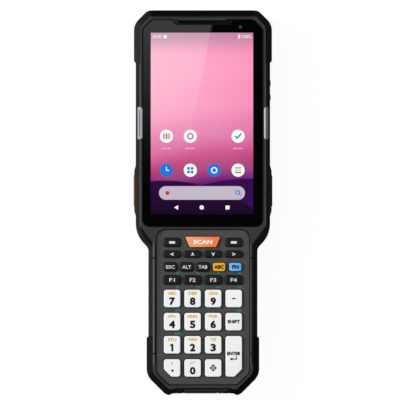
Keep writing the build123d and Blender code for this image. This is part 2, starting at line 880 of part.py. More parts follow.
with BuildPart() as front_housing:
    add(outer_form.part)
    split(bisect_by=Plane.XY.offset(split_height), keep=Keep.TOP)
    # glass pocket, display opening and cavity
    fill(grown(glass_plan, glass_gap), glass_seat, 2 * thickness, Mode.SUBTRACT)
    fill(display_opening.sketch, display_seat, glass_seat, Mode.SUBTRACT)
    fill(head_cavity_plan, split_height, display_seat, Mode.SUBTRACT)
    fill(inner_plan, split_height, membrane_bottom, Mode.SUBTRACT)
    # key panel's pocket and the opening under it
    fill(grown(panel_plan, panel_gap), panel_seat, 2 * thickness, Mode.SUBTRACT)
    fill(grown(panel_plan, -panel_ledge), membrane_bottom, panel_seat, Mode.SUBTRACT)
    # earpiece slit and front camera's hole
    slit_low = glass_top - earpiece_tab_depth + glass_gap + earpiece_slit_bar
    with BuildSketch(Plane.XY.offset(display_seat)):
        with Locations((0, slit_low + earpiece_slit_width / 2)):
            SlotOverall(earpiece_slit_length, earpiece_slit_width)
    extrude(amount=thickness, mode=Mode.SUBTRACT)
    camera_hole = front_camera_radius + front_camera_gap
    post(front_camera_x, front_camera_y, camera_hole, display_seat, glass_seat, Mode.SUBTRACT)
    # pockets of the light bars
    for side in (-1, 1):
        with BuildSketch(Plane.XY.offset(thickness - light_bar_depth)):
            with Locations((side * light_bar_x, light_bar_y)):
                SlotOverall(
                    light_bar_length + 2 * light_bar_gap,
                    light_bar_width + 2 * light_bar_gap,
                    rotation=90,
                )
        extrude(amount=thickness, mode=Mode.SUBTRACT)
    # openings of the triggers, through both walls
    with BuildSketch(side_plane(0, trigger_y)):
        RectangleRounded(
            trigger_length + 2 * trigger_gap,
            trigger_height + 2 * trigger_gap,
            trigger_height / 3 + trigger_gap,
        )
    extrude(amount=far, both=True, mode=Mode.SUBTRACT)
    # opening of the volume rocker and the sockets of its pin
    with BuildSketch(side_plane(0, rocker_y)):
        Rectangle(rocker_length + 2 * rocker_gap, rocker_height + 2 * rocker_gap)
    extrude(amount=far, mode=Mode.SUBTRACT)
    rocker_pin_x = head_half - rocker_pin_depth
    pin_reach = rocker_height / 2 + rocker_pin_reach + running_gap
    post(
        rocker_pin_x,
        rocker_y,
        rocker_pin_radius + running_gap,
        side_control_height - pin_reach,
        side_control_height + pin_reach,
        Mode.SUBTRACT,
    )
    # port recess, its pin's hole and the opening for the socket
    block(
        -port_cover_width / 2 - port_hinge_gap,
        port_cover_width / 2 + port_cover_gap,
        -far,
        port_recess_y,
        port_floor,
        2 * thickness,
        Mode.SUBTRACT,
    )
    post(port_pin_x, port_cover_y, port_pin_radius, split_height, port_floor, Mode.SUBTRACT)
    with BuildSketch(end_plane(0, socket_z)):
        RectangleRounded(
            socket_width + 2 * socket_gap,
            socket_height + 2 * socket_gap,
            socket_height / 2.2,
        )
    extrude(amount=far, mode=Mode.SUBTRACT)
    # posts for the screws
    for x, y, seat in screw_places:
        post(x, y, screw_boss_radius, split_height, seat)
    for x, y, seat in screw_places:
        pilot_radius = screw_radius + screw_pilot_gap
        post(x, y, pilot_radius, split_height, screw_tip + screw_gap, Mode.SUBTRACT)
    # joint lines across the rim
    for line in range(2):
        line_y = panel_top - notch_upper_offset - line * notch_spacing
        with Locations((0, line_y, thickness)):
            Box(far, notch_width, 2 * notch_depth, mode=Mode.SUBTRACT)
finish(front_housing, "front_housing")

# ---------------------------------------------------------------- bumpers
with BuildPart() as bumper_top_right:
    add(bumper_form.part)
    fill(grown(top_zone, -bumper_gap), 0, thickness, Mode.INTERSECT)
    fill(bumper_core.sketch, 0, thickness, Mode.SUBTRACT)
finish(bumper_top_right, "bumper_top_right")

with BuildPart() as bumper_bottom_right:
    add(bumper_form.part)
    fill(grown(bottom_zone, -bumper_gap), 0, thickness, Mode.INTERSECT)
    fill(bumper_core.sketch, 0, thickness, Mode.SUBTRACT)
    fill(foot_cut.sketch, 0, thickness, Mode.SUBTRACT)
finish(bumper_bottom_right, "bumper_bottom_right")

with BuildPart() as bumper_top_left:
    mirror(bumper_top_right.part, about=Plane.YZ)
finish(bumper_top_left, "bumper_top_left")

with BuildPart() as bumper_bottom_left:
    mirror(bumper_bottom_right.part, about=Plane.YZ)
finish(bumper_bottom_left, "bumper_bottom_left")

# ---------------------------------------------------------------- battery and its catches
with BuildPart() as battery_pack:
    battery_back = battery_recess
    fill(battery_plan, battery_back, battery_back + battery_thickness)
    chamfer(battery_pack.faces().sort_by(Axis.Z)[0].edges(), length=battery_edge)
    block(
        -finger_notch_width / 2,
        finger_notch_width / 2,
        battery_top - finger_notch_length,
        battery_top + battery_gap,
        0,
        battery_back + finger_notch_depth,
        Mode.SUBTRACT,
    )
    for side, y in catch_places:
        block(
            side * (battery_width / 2 - catch_nose),
            side * battery_width,
            y - catch_width / 2 - catch_gap,
            y + catch_width / 2 + catch_gap,
            catch_bottom - catch_gap,
            catch_bottom + catch_nose_height + catch_gap,
            Mode.SUBTRACT,
        )
finish(battery_pack, "battery_pack")

with BuildPart() as battery_catches:
    nose_tip = battery_width / 2 - catch_nose + catch_gap
    leaf_outer = catch_inner + catch_leaf
    for side, y in catch_places:
        block(
            side * catch_inner,
            side * leaf_outer,
            y - catch_width / 2,
            y + catch_width / 2,
            catch_bottom,
            bay_top,
        )
        block(
            side * nose_tip,
            side * leaf_outer,
            y - catch_width / 2,
            y + catch_width / 2,
            catch_bottom,
            catch_bottom + catch_nose_height,
        )
finish(battery_catches, "battery_catches")


# ---------------------------------------------------------------- side controls
def make_trigger(name, side):
    """Side trigger with its flange; side is 1 on the right and -1 on the left."""
    flange_outer = cavity_half - trigger_stop_gap
    with BuildPart() as trigger:
        with BuildSketch(side_plane(flange_outer - trigger_flange_thickness, trigger_y)):
            RectangleRounded(
                trigger_length + 2 * trigger_flange,
                trigger_height + 2 * trigger_flange,
                trigger_height / 3 + trigger_flange,
            )
        extrude(amount=trigger_flange_thickness)
        with BuildSketch(side_plane(flange_outer, trigger_y)):
            RectangleRounded(trigger_length, trigger_height, trigger_height / 3)
        extrude(amount=head_half + trigger_proud - flange_outer)
        pad = trigger.faces().sort_by(Axis.X)[-1]
        fillet(pad.edges(), radius=trigger_edge_radius)
        if side < 0:
            mirror(about=Plane.YZ, mode=Mode.REPLACE)
    finish(trigger, name)


make_trigger("trigger_right", 1)
make_trigger("trigger_left", -1)

with BuildPart() as volume_rocker:
    with BuildSketch(Plane.XY.offset(side_control_height - rocker_height / 2)):
        with Locations((head_half - rocker_depth / 2, rocker_y)):
            Rectangle(rocker_depth, rocker_length)
        for along in (-1, 1):
            bump_y = rocker_y + along * rocker_bump_offset
            bump_low = (head_half, bump_y - rocker_bump_width / 2)
            bump_high = (head_half, bump_y + rocker_bump_width / 2)
            with BuildLine():
                ThreePointArc(bump_low, (head_half + rocker_bump, bump_y), bump_high)
                Line(bump_high, bump_low)
            make_face()
    extrude(amount=rocker_height)
    pin_end = rocker_height / 2 + rocker_pin_reach
    post(
        rocker_pin_x,
        rocker_y,
        rocker_pin_radius,
        side_control_height - pin_end,
        side_control_height + pin_end,
    )
finish(volume_rocker, "volume_rocker")

with BuildPart() as status_light_bars:
    with BuildSketch(Plane.XY.offset(thickness - light_bar_depth)):
        with Locations((light_bar_x, light_bar_y)):
            SlotOverall(light_bar_length, light_bar_width, rotation=90)
    extrude(amount=2 * light_bar_depth)
    with Locations((0, 0, light_bar_proud)):
        add(case_form.part, mode=Mode.INTERSECT)
    mirror(about=Plane.YZ)
finish(status_light_bars, "status_light_bars")

# ---------------------------------------------------------------- lower end
with BuildPart() as port_cover:
    with BuildSketch(Plane.XY.offset(port_cover_bottom)):
        with Locations(((port_pin_x + port_cover_width / 2) / 2, port_cover_y)):
            Rectangle(port_cover_width / 2 - port_pin_x, port_cover_thickness)
        with Locations((port_pin_x, port_cover_y)):
            Circle(port_cover_thickness / 2)
    extrude(amount=thickness)
    add(case_form.part, mode=Mode.INTERSECT)
    post(
        port_pin_x,
        port_cover_y,
        port_pin_radius + running_gap,
        split_height,
        split_height + port_pin_length + running_gap,
        Mode.SUBTRACT,
    )
    grip_x = port_cover_width / 2 - 2 * port_grip_width
    block(
        grip_x - port_grip_width,
        grip_x,
        -far,
        case_bottom + port_grip_depth,
        split_height,
        thickness,
        Mode.SUBTRACT,
    )
finish(port_cover, "port_cover")

with BuildPart() as port_cover_pin:
    post(port_pin_x, port_cover_y, port_pin_radius, split_height, split_height + port_pin_length)
finish(port_cover_pin, "port_cover_pin")

with BuildPart() as charging_socket:
    mouth_y = port_recess_y + socket_mouth_gap
    inner_width = socket_width - 2 * socket_wall
    inner_height = socket_height - 2 * socket_wall
    with BuildSketch(end_plane(mouth_y, socket_z)):
        RectangleRounded(socket_width, socket_height, socket_height / 2.2)
    extrude(amount=-socket_length)
    with BuildSketch(end_plane(mouth_y, socket_z)):
        RectangleRounded(inner_width, inner_height, inner_height / 2.2)
    extrude(amount=-(socket_length - 2 * socket_wall), mode=Mode.SUBTRACT)
    with BuildSketch(end_plane(mouth_y + socket_wall, socket_z)):
        Rectangle(inner_width - socket_height / 2, inner_height / 4)
    extrude(amount=-(socket_length - 2 * socket_wall))
finish(charging_socket, "charging_socket")

# ---------------------------------------------------------------- scanner, camera, speaker
with BuildPart() as scan_window:
    with BuildSketch(end_plane(window_inner_y, window_middle)):
        RectangleRounded(window_width, window_height, window_gap)
    extrude(amount=-window_thickness)
finish(scan_window, "scan_window")

with BuildPart() as scan_engine:
    engine_start = engine_pocket_start + cavity_gap
    block(
        -engine_width / 2,
        engine_width / 2,
        engine_start,
        engine_start + engine_length,
        floor_thickness,
        floor_thickness + engine_height,
    )
    with BuildSketch(end_plane(engine_start + engine_length, window_middle)):
        with Locations((-engine_width / 4, 0), (engine_width / 4, 0)):
            Circle(engine_lens_radius)
    extrude(amount=-cavity_gap * 2)
finish(scan_engine, "scan_engine")

with BuildPart() as rear_camera:
    post(0, rear_camera_y, rear_camera_radius, back_recess + rear_camera_gap, rear_lens_seat)
    post(0, rear_camera_y, rear_camera_barrel, rear_lens_seat, rear_lens_seat + rear_camera_depth)
finish(rear_camera, "rear_camera")

with BuildPart() as speaker:
    block(
        -speaker_width / 2,
        speaker_width / 2,
        speaker_y - speaker_length / 2,
        speaker_y + speaker_length / 2,
        head_floor,
        head_floor + speaker_height,
    )
finish(speaker, "speaker")

# ---------------------------------------------------------------- screws
with BuildPart() as case_screws:
    for x, y, seat in screw_places:
        post(x, y, screw_head_radius, screw_seat - screw_head_height, screw_seat)
        post(x, y, screw_radius, screw_seat, screw_tip)
        with Locations((x, y, screw_seat - screw_head_height)):
            Box(2 * screw_radius, screw_radius / 2, screw_head_height, mode=Mode.SUBTRACT)
            Box(screw_radius / 2, 2 * screw_radius, screw_head_height, mode=Mode.SUBTRACT)
finish(case_screws, "case_screws")
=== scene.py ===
import math

import bmesh
import bpy
from mathutils import Matrix, Vector


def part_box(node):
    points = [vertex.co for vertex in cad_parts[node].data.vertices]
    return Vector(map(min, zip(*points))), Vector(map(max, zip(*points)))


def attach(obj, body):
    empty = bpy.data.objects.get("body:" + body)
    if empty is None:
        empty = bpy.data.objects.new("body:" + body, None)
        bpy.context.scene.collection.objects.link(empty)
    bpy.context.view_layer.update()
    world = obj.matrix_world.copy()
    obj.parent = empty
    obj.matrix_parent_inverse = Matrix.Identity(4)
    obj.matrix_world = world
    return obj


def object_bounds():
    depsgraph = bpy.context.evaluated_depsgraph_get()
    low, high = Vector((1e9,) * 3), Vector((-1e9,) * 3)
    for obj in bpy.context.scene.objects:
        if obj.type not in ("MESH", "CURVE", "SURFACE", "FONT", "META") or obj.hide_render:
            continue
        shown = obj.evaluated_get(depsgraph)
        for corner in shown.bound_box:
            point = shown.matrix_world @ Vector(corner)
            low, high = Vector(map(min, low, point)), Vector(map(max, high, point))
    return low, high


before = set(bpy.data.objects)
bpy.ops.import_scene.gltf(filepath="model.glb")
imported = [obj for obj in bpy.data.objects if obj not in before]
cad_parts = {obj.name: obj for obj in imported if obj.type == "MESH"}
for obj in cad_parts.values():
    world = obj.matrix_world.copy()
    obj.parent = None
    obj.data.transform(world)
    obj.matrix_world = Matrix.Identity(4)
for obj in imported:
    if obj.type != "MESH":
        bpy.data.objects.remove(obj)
cad_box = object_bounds()

# A hand-held data terminal, lying on its back. The display and the keys face +Z, and the scanner
# end points to +Y. Meshes and the stage are in metres. Places in materials, and the sizes of
# small printed and fitted details, are in millimetres unless MM is in their line.
MM = 0.001
scene = bpy.context.scene
scene.view_settings.view_transform = "Standard"

# ---------------------------------------------------------------- places taken from the frame
glass_low, glass_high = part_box("display_glass")
battery_low, battery_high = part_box("battery_pack")
bars_low, bars_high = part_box("status_light_bars")
rim_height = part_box("front_housing")[1].z
panel_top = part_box("keypad_panel")[1].z
key_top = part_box("key_5")[1].z
glass_top = glass_high.z

SCREEN_HALF = 26.8                  # half the lit area's width
SCREEN_X = -0.5
SCREEN_FROM_TOP = 6.85 * MM         # glass edge to the lit area
SCREEN_FROM_BOTTOM = 6.35 * MM
screen_top = glass_high.y - SCREEN_FROM_TOP
screen_bottom = glass_low.y + SCREEN_FROM_BOTTOM

PRINT_DEPTH = 0.02 * MM
PRINT_STEP = 0.002 * MM             # between the layers of bold lettering
BOLD_STEPS = 8                      # copies of a letter round its middle one
symbol_level = glass_top + PRINT_DEPTH      # where a second layer on the glass begins

# ---------------------------------------------------------------- camera and light
VIEW_WIDTH = 209.4 * MM             # what the picture's width takes in at the rim
VIEW_CENTRE = (-1.53 * MM, 1.44 * MM)
LENS = 800.0
SENSOR = 36.0
LAMPS = [                           # name, place, size and power
    ("key_light", (-1.15, 0.3, 0.85), 0.7, 17.0),
    ("fill_light", (0.9, 0.2, 1.1), 0.9, 3.5),
]


def make_camera():
    data = bpy.data.cameras.new("camera")
    data.lens = LENS
    data.sensor_width = SENSOR
    camera = bpy.data.objects.new("camera", data)
    camera.location = (*VIEW_CENTRE, rim_height + VIEW_WIDTH * LENS / SENSOR)
    scene.collection.objects.link(camera)
    scene.camera = camera


def make_lamp(name, place, size, power):
    """A square soft box that faces the middle of the object."""
    data = bpy.data.lights.new(name, "AREA")
    data.size = size
    data.energy = power
    lamp = bpy.data.objects.new(name, data)
    lamp.location = place
    lamp.rotation_euler = (-Vector(place)).to_track_quat("-Z", "Y").to_euler()
    lamp.visible_camera = False
    scene.collection.objects.link(lamp)


# ---------------------------------------------------------------- writing materials
def srgb(red, green, blue):
    """A colour given by its 0 to 255 screen values, as the shader's linear colour."""

    def linear(value):
        share = value / 255
        return share / 12.92 if share <= 0.04045 else ((share + 0.055) / 1.055) ** 2.4

    return (linear(red), linear(green), linear(blue), 1.0)


def grey(level, cold=1):
    """A grey whose blue is higher by a few steps."""
    return srgb(level, level, level + cold)


def dimmed(colour, share):
    return (colour[0] * share, colour[1] * share, colour[2] * share, 1.0)


PURE_BLACK = (0.0, 0.0, 0.0, 1.0)
PURE_WHITE = (1.0, 1.0, 1.0, 1.0)
NUMBER = "NodeSocketFloat"
VECTOR = "NodeSocketVector"


class Sheet:
    """A node tree being written. The methods add nodes and give back what comes out of them."""

    def __init__(self, tree):
        self.tree = tree

    def node(self, kind):
        return self.tree.nodes.new("ShaderNode" + kind)

    def feed(self, socket, value):
        """Give an input socket a value, or join it to an output socket."""
        if isinstance(value, bpy.types.NodeSocket):
            self.tree.links.new(value, socket)
        else:
            socket.default_value = value

    def maths(self, operation, *values):
        node = self.node("Math")
        node.operation = operation
        for socket, value in zip(node.inputs, values):
            self.feed(socket, value)
        return node.outputs[0]

    def times(self, product, *others):
        for other in others:
            product = self.maths("MULTIPLY", product, other)
        return product

    def less(self, value, taken):
        return self.maths("SUBTRACT", value, taken)

    def linear(self, value, factor, added):
        return self.maths("MULTIPLY_ADD", value, factor, added)

    def unsigned(self, value):
        return self.maths("ABSOLUTE", value)

    def larger(self, first, second):
        return self.maths("MAXIMUM", first, second)

    def above(self, value, limit):
        return self.maths("GREATER_THAN", value, limit)

    def distance(self, x, y, from_x, from_y):
        across = self.less(x, from_x)
        along = self.less(y, from_y)
        squares = self.maths("ADD", self.times(across, across), self.times(along, along))
        return self.maths("SQRT", squares)

    def step(self, value, start, end):
        """0 before start, 1 after end, and smooth in between."""
        node = self.node("MapRange")
        node.interpolation_type = "SMOOTHSTEP"
        self.feed(node.inputs["Value"], value)
        self.feed(node.inputs["From Min"], start)
        self.feed(node.inputs["From Max"], end)
        return node.outputs["Result"]

    def between(self, value, start, end, blur):
        """1 from start to end and 0 outside them, each end softened by the blur. None leaves
        that end open."""
        after = 1.0 if start is None else self.step(value, start - blur, start + blur)
        before = 1.0 if end is None else self.step(value, end + blur, end - blur)
        return self.times(after, before)

    def patch(self, x, y, limits):
        """1 inside a rectangle: its start, end and blur across, and then along."""
        return self.times(self.between(x, *limits[:3]), self.between(y, *limits[3:]))

    def mix(self, share, first, second):
        node = self.node("Mix")
        node.data_type = "RGBA"
        self.feed(node.inputs[0], share)
        self.feed(node.inputs[6], first)
        self.feed(node.inputs[7], second)
        return node.outputs[2]

    def coat(self, colour, *coats):
        """The colour under coats, each a share and a colour, with the last one outermost."""
        for share, over in coats:
            colour = self.mix(share, colour, over)
        return colour

    def ramp(self, value, stops):
        node = self.node("ValToRGB")
        elements = node.color_ramp.elements
        while len(elements) < len(stops):
            elements.new(1.0)
        for element, (position, colour) in zip(elements, stops):
            element.position = position
            element.color = colour
        self.feed(node.inputs["Fac"], value)
        return node.outputs["Color"]

    def scale(self, vector, factor):
        node = self.node("VectorMath")
        node.operation = "SCALE"
        self.feed(node.inputs[0], vector)
        self.feed(node.inputs["Scale"], factor)
        return node.outputs[0]

    def noise(self, place, grain, detail):
        """Noise from 0 to 1 whose lumps are about one grain across."""
        node = self.node("TexNoise")
        node.inputs["Scale"].default_value = 1.0
        node.inputs["Detail"].default_value = detail
        scaled = self.scale(place, self.maths("DIVIDE", 1.0, grain))
        self.feed(node.inputs["Vector"], scaled)
        return node.outputs["Fac"]

    def bump(self, height, depth, normal=None):
        node = self.node("Bump")
        node.inputs["Strength"].default_value = 1.0
        node.inputs["Distance"].default_value = depth
        self.feed(node.inputs["Height"], height)
        if normal:
            self.feed(node.inputs["Normal"], normal)
        return node.outputs["Normal"]

    def use(self, group, **values):
        node = self.node("Group")
        node.node_tree = group
        for name, value in values.items():
            self.feed(node.inputs[name], value)
        return node.outputs

    def axes(self, place):
        """X, Y and Z of a place, in millimetres."""
        node = self.node("SeparateXYZ")
        self.feed(node.inputs[0], self.scale(place, 1 / MM))
        return node.outputs


def start_group(name, inputs, outputs):
    """An empty node group, as a sheet, with named inputs and outputs of given kinds."""
    group = bpy.data.node_groups.new(name, "ShaderNodeTree")
    for way, sockets in (("INPUT", inputs), ("OUTPUT", outputs)):
        for socket, kind in sockets.items():
            group.interface.new_socket(socket, in_out=way, socket_type=kind)
    start = group.nodes.new("NodeGroupInput").outputs
    return Sheet(group), start, group.nodes.new("NodeGroupOutput").inputs


def make_grain_group():
    """Moulded surface: the fine spark-eroded grain and the slow unevenness of the sheen."""
    sheet, start, end = start_group(
        "moulded_grain", {"Place": VECTOR, "Size": NUMBER}, {"Height": NUMBER, "Blotch": NUMBER}
    )
    sheet.feed(end["Height"], sheet.noise(start["Place"], start["Size"], 3.0))
    slow = sheet.times(start["Size"], 60.0)
    sheet.feed(end["Blotch"], sheet.noise(start["Place"], slow, 2.0))
    return sheet.tree


def make_edge_group():
    """Softened edges: a rounded normal, and a mask of where the surface turns over an edge."""
    sheet, start, end = start_group(
        "handled_edges", {"Place": VECTOR, "Radius": NUMBER}, {"Mask": NUMBER, "Normal": VECTOR}
    )
    bevel = sheet.node("Bevel")
    bevel.samples = 6
    sheet.feed(bevel.inputs["Radius"], start["Radius"])
    facing = sheet.node("VectorMath")
    facing.operation = "DOT_PRODUCT"
    sheet.feed(facing.inputs[0], bevel.outputs["Normal"])
    sheet.feed(facing.inputs[1], sheet.node("NewGeometry").outputs["Normal"])
    turned_over = sheet.step(sheet.less(1.0, facing.outputs["Value"]), 0.0, 0.25)
    broken = sheet.step(sheet.noise(start["Place"], 1.4 * MM, 4.0), 0.35, 0.7)
    sheet.feed(end["Mask"], sheet.times(turned_over, broken))
    sheet.feed(end["Normal"], bevel.outputs["Normal"])
    return sheet.tree


GRAIN = make_grain_group()
EDGES = make_edge_group()


class Paint(Sheet):
    """A material being written, laid out in the object's own coordinates."""

    def __init__(self, name, specular=0.5):
        self.material = bpy.data.materials.new(name)
        self.material.use_nodes = True
        super().__init__(self.material.node_tree)
        self.shader = self.tree.nodes["Principled BSDF"].inputs
        self.place = self.node("TexCoord").outputs["Object"]
        self.set("Specular IOR Level", specular)

    def set(self, socket, value):
        self.feed(self.shader[socket], value)

    def grain(self, size):
        return self.use(GRAIN, Place=self.place, Size=size)

    def mould(self, colour, roughness=0.5, grain=0.3, depth=0.006, edge=0.25, worn=0.02,
              mottle=0.3):
        """Finish a plastic or rubber: fine grain, uneven sheen and softened, paler edges. Grain,
        depth and edge are in millimetres."""
        grained = self.grain(grain * MM)
        edges = self.use(EDGES, Place=self.place, Radius=edge * MM)
        mottling = self.times(grained["Blotch"], mottle)
        paler = self.times(edges["Mask"], worn)
        coats = (mottling, PURE_BLACK), (paler, PURE_WHITE)
        self.set("Base Color", self.coat(colour, *coats))
        self.set("Roughness", self.linear(grained["Blotch"], 0.2, roughness - 0.1))
        self.set("Normal", self.bump(grained["Height"], depth * MM, edges["Normal"]))
        return self.material


def moulding(name, colour, specular=0.3, **looks):
    """Moulded plastic or rubber of one colour."""
    return Paint(name, specular).mould(colour, **looks)


# ---------------------------------------------------------------- finishes
RIM = rim_height / MM
GLASS_END = glass_high.y / MM
BAR_START = bars_low.y / MM
BAR_END = bars_high.y / MM
BAR_AXIS = 33.25                    # from the object's middle to the middle of a light bar
BAR_ROUND = 1.25                    # radius of the light bars' round ends
NECK_SHADE_LEAN = 0.76                   # edge of the painted shade beside the neck, X for each Y
NECK_SHADE_RISE = 20.6                   # how far under the middle that edge turns upright
NECK_SHADE_EDGE = (26.2, 26.7)
RAIL_START = 24.5                   # the land beside the keypad, from the middle
RAIL_WIDTH = 1.8
CASE_PATCHES = {                    # start, end and blur from the middle, then along
    # Patches of painted light and shade: a glow beside the light bars, shade at the upper end on
    # the slopes and the land, highlight and shade lines along the handle, a shade line above the
    # port cover and a highlight on the slope beside it, shade in the earpiece's lip, and the
    # earpiece tab's lit and shaded ends.
    "painted_bar_glow": (None, 32.6, 0.1, BAR_START + BAR_ROUND, BAR_END - BAR_ROUND, 0.3),
    "top": (None, 27.0, 0.5, 94.5, None, 0.5),
    "shade": (None, 27.0, 0.5, 96.95, None, 0.45),
    "handle": (RAIL_START - 0.05, None, 0.05, -84.5, -21.0, 0.6),
    "line": (None, 15.1, 0.2, -97.7, -97.0, 0.1),
    "ledge": (9.6, 12.2, 0.1, -98.4, -97.5, 0.12),
    "lip": (None, 14.2, 0.4, GLASS_END - 3.5, GLASS_END - 1.6, 0.15),
    "lit_and_shaded_tab_ends": (12.2, 16.5, 0.2, GLASS_END - 3.5, GLASS_END + 0.4, 0.15),
}
CASE_EDGE_HIGHLIGHT = (RIM - 0.24, RIM - 0.02, 0.02)    # painted highlight on the rim's rounded edge, by height: start, end and blur
CASE_WALL = (RIM - 2.9, RIM - 4.0)
# Where the slopes' colour gives way to the land's paler one: painted light on faces that look up.
CASE_LAND = (RIM - 0.5, RIM - 0.1)
# Painted highlight and shade lines across the handle's land, from its inner edge outwards: on the
# left dark, land, highlight and dark; on the right highlight, land and dark.
LEFT_RAIL_PAINTED_LIGHT = [(0.28, grey(20)), (0.34, grey(60)), (0.54, grey(60)), (0.60, grey(110, 2)),
             (0.90, grey(110, 2)), (0.96, grey(21))]
RIGHT_RAIL_PAINTED_LIGHT = [(0.32, grey(82, 2)), (0.40, grey(58)), (0.62, grey(58)), (0.70, grey(20))]
# Painted glow of the light bars on the land beside them, paler on the left, which faces the light.
LEFT_PAINTED_GLOW = srgb(186, 189, 196)
RIGHT_PAINTED_GLOW = srgb(112, 118, 124)
PANEL_HIGHLIGHT = (23.7, 24.2)           # where the panel's painted edge highlight starts, from the middle
# X over which paler paint, lightening the rim's shadow, grows towards the left
PANEL_SHADOW_LIGHTENED = (-22.4, -24.2)
COVER_LIP_HIGHLIGHT = (-98.75, -98.45)        # Y of the painted highlights on the port cover's lip and front edge
COVER_FRONT_HIGHLIGHT = (-99.1, -99.3)
COVER_FRONT_HIGHLIGHT_RISE = (RIM - 3.0, RIM - 2.0)
# The left bar's darker core inside its painted highlight, and where the painted highlight along
# the bars' inner edge ends.
LEFT_BAR_SHADED_CORE = (32.8, 33.45, 0.15, BAR_START + 1.6, BAR_END - 1.6, 0.3)
BAR_INNER_HIGHLIGHT = (32.2, 32.9)
BAR_OUTER = (34.15, 34.25)
BAR_PAST_END = (BAR_ROUND - 0.05, BAR_ROUND + 0.1)
BAR_SHADE_START = 32.5               # the right bar's painted shade, from the middle
BAR_SHADE_WIDTH = 2.0
LEFT_INSET = 0.3                    # how much further in the left bar's painted highlight ends
BAR_DARK = grey(44, 2)
# Painted glow of the left light bar on the bead.
BEAD_PAINTED_GLOW = (None, -31.7, 0.05, BAR_START + 0.6, BAR_END - 0.6, 0.5)
# The right bar painted darker outwards, as painted shade.
RIGHT_BAR_SHADING = [(0.0, srgb(176, 182, 188)), (0.4, srgb(132, 138, 144)), (0.75, srgb(96, 100, 105)),
             (1.0, srgb(60, 62, 66))]


def case_finish():
    """Black front housing with light and shade painted on. Its flat land is painted paler than its
    slopes, as painted light on faces that look up, with a painted highlight along the rim's
    rounded edge. Painted shade makes the land black beside the neck, in the earpiece's lip and
    in a line above the port cover, as if the land dipped there, and darker at the upper end,
    whose slopes are painted darker too. Painted highlight and shade lines run along the handle,
    the earpiece tab's ends are painted lit on the left and shaded on the right, the slope beside
    the port cover carries a painted highlight, and a painted glow lies beside the light bars."""
    paint = Paint("housing_plastic", specular=0.13)
    x, y, z = paint.axes(paint.place)
    half = paint.unsigned(x)
    right = paint.above(x, 0.0)
    patch = {name: paint.patch(half, y, limits) for name, limits in CASE_PATCHES.items()}
    # Painted shade beside the neck, outside a slanted edge.
    turn = paint.larger(paint.linear(y, NECK_SHADE_LEAN, NECK_SHADE_LEAN * NECK_SHADE_RISE), 0.0)
    neck_shade = paint.step(paint.less(half, turn), *NECK_SHADE_EDGE)
    rail = paint.linear(half, 1 / RAIL_WIDTH, -RAIL_START / RAIL_WIDTH)
    # The land: a painted glow beside the light bars, a painted highlight on the rim's edge,
    # painted shade at the upper end, painted highlight and shade lines along the handle, painted
    # shade beside the neck, above the port cover and in the earpiece's lip, and the tab's ends
    # painted lit on the left and shaded on the right.
    flat = paint.coat(
        grey(60), (patch["painted_bar_glow"], paint.mix(right, LEFT_PAINTED_GLOW, RIGHT_PAINTED_GLOW)),
        (paint.between(z, *CASE_EDGE_HIGHLIGHT), grey(88, 2)),
        (patch["shade"], grey(34)),
        (patch["handle"], paint.mix(right, paint.ramp(rail, LEFT_RAIL_PAINTED_LIGHT),
                                    paint.ramp(rail, RIGHT_RAIL_PAINTED_LIGHT))),
        (paint.larger(neck_shade, patch["line"]), grey(14)),
        (patch["lip"], grey(3)),
        (patch["lit_and_shaded_tab_ends"], paint.mix(right, grey(38), grey(3))),
    )
    # The slopes: painted shade at the upper end and a painted highlight beside the port cover; the
    # walls below them are a paler grey.
    sides = paint.coat(
        grey(21), (patch["top"], grey(6, 0)), (paint.times(patch["ledge"], right), grey(76, 2)),
        (paint.step(z, *CASE_WALL), grey(36, 2)),
    )
    # The land painted paler than the slopes, as painted light on faces that look up.
    colour = paint.mix(paint.step(z, *CASE_LAND), sides, flat)
    return paint.mould(colour, roughness=0.46, grain=0.35, depth=0.008, edge=0.3, worn=0.03)


def panel_finish():
    """Keypad panel with a painted highlight along its long edges, and paler paint towards its left
    side, a painted light that lightens the shadow the rim casts there.
    """
    paint = Paint("panel_plastic", specular=0.3)
    x, _, _ = paint.axes(paint.place)
    # Painted highlight along the long edges, and paler paint over the rim's shadow on the left.
    edge_highlight = paint.step(paint.unsigned(x), *PANEL_HIGHLIGHT)
    shadow_lightened = paint.times(paint.step(x, *PANEL_SHADOW_LIGHTENED), 0.5)
    colour = paint.mix(paint.larger(edge_highlight, shadow_lightened), grey(79), grey(120, 2))
    return paint.mould(colour, roughness=0.55, grain=0.25)


def port_cover_finish():
    """Rubber lid with a painted highlight along its upper lip and its front edge."""
    paint = Paint("port_cover_rubber", specular=0.2)
    _, y, z = paint.axes(paint.place)
    # Painted highlights on the lip and the front edge.
    lip = paint.step(y, *COVER_LIP_HIGHLIGHT)
    front = paint.times(paint.step(y, *COVER_FRONT_HIGHLIGHT), paint.step(z, *COVER_FRONT_HIGHLIGHT_RISE), 0.6)
    colour = paint.mix(paint.larger(lip, front), grey(18), grey(66, 2))
    return paint.mould(colour, roughness=0.6)


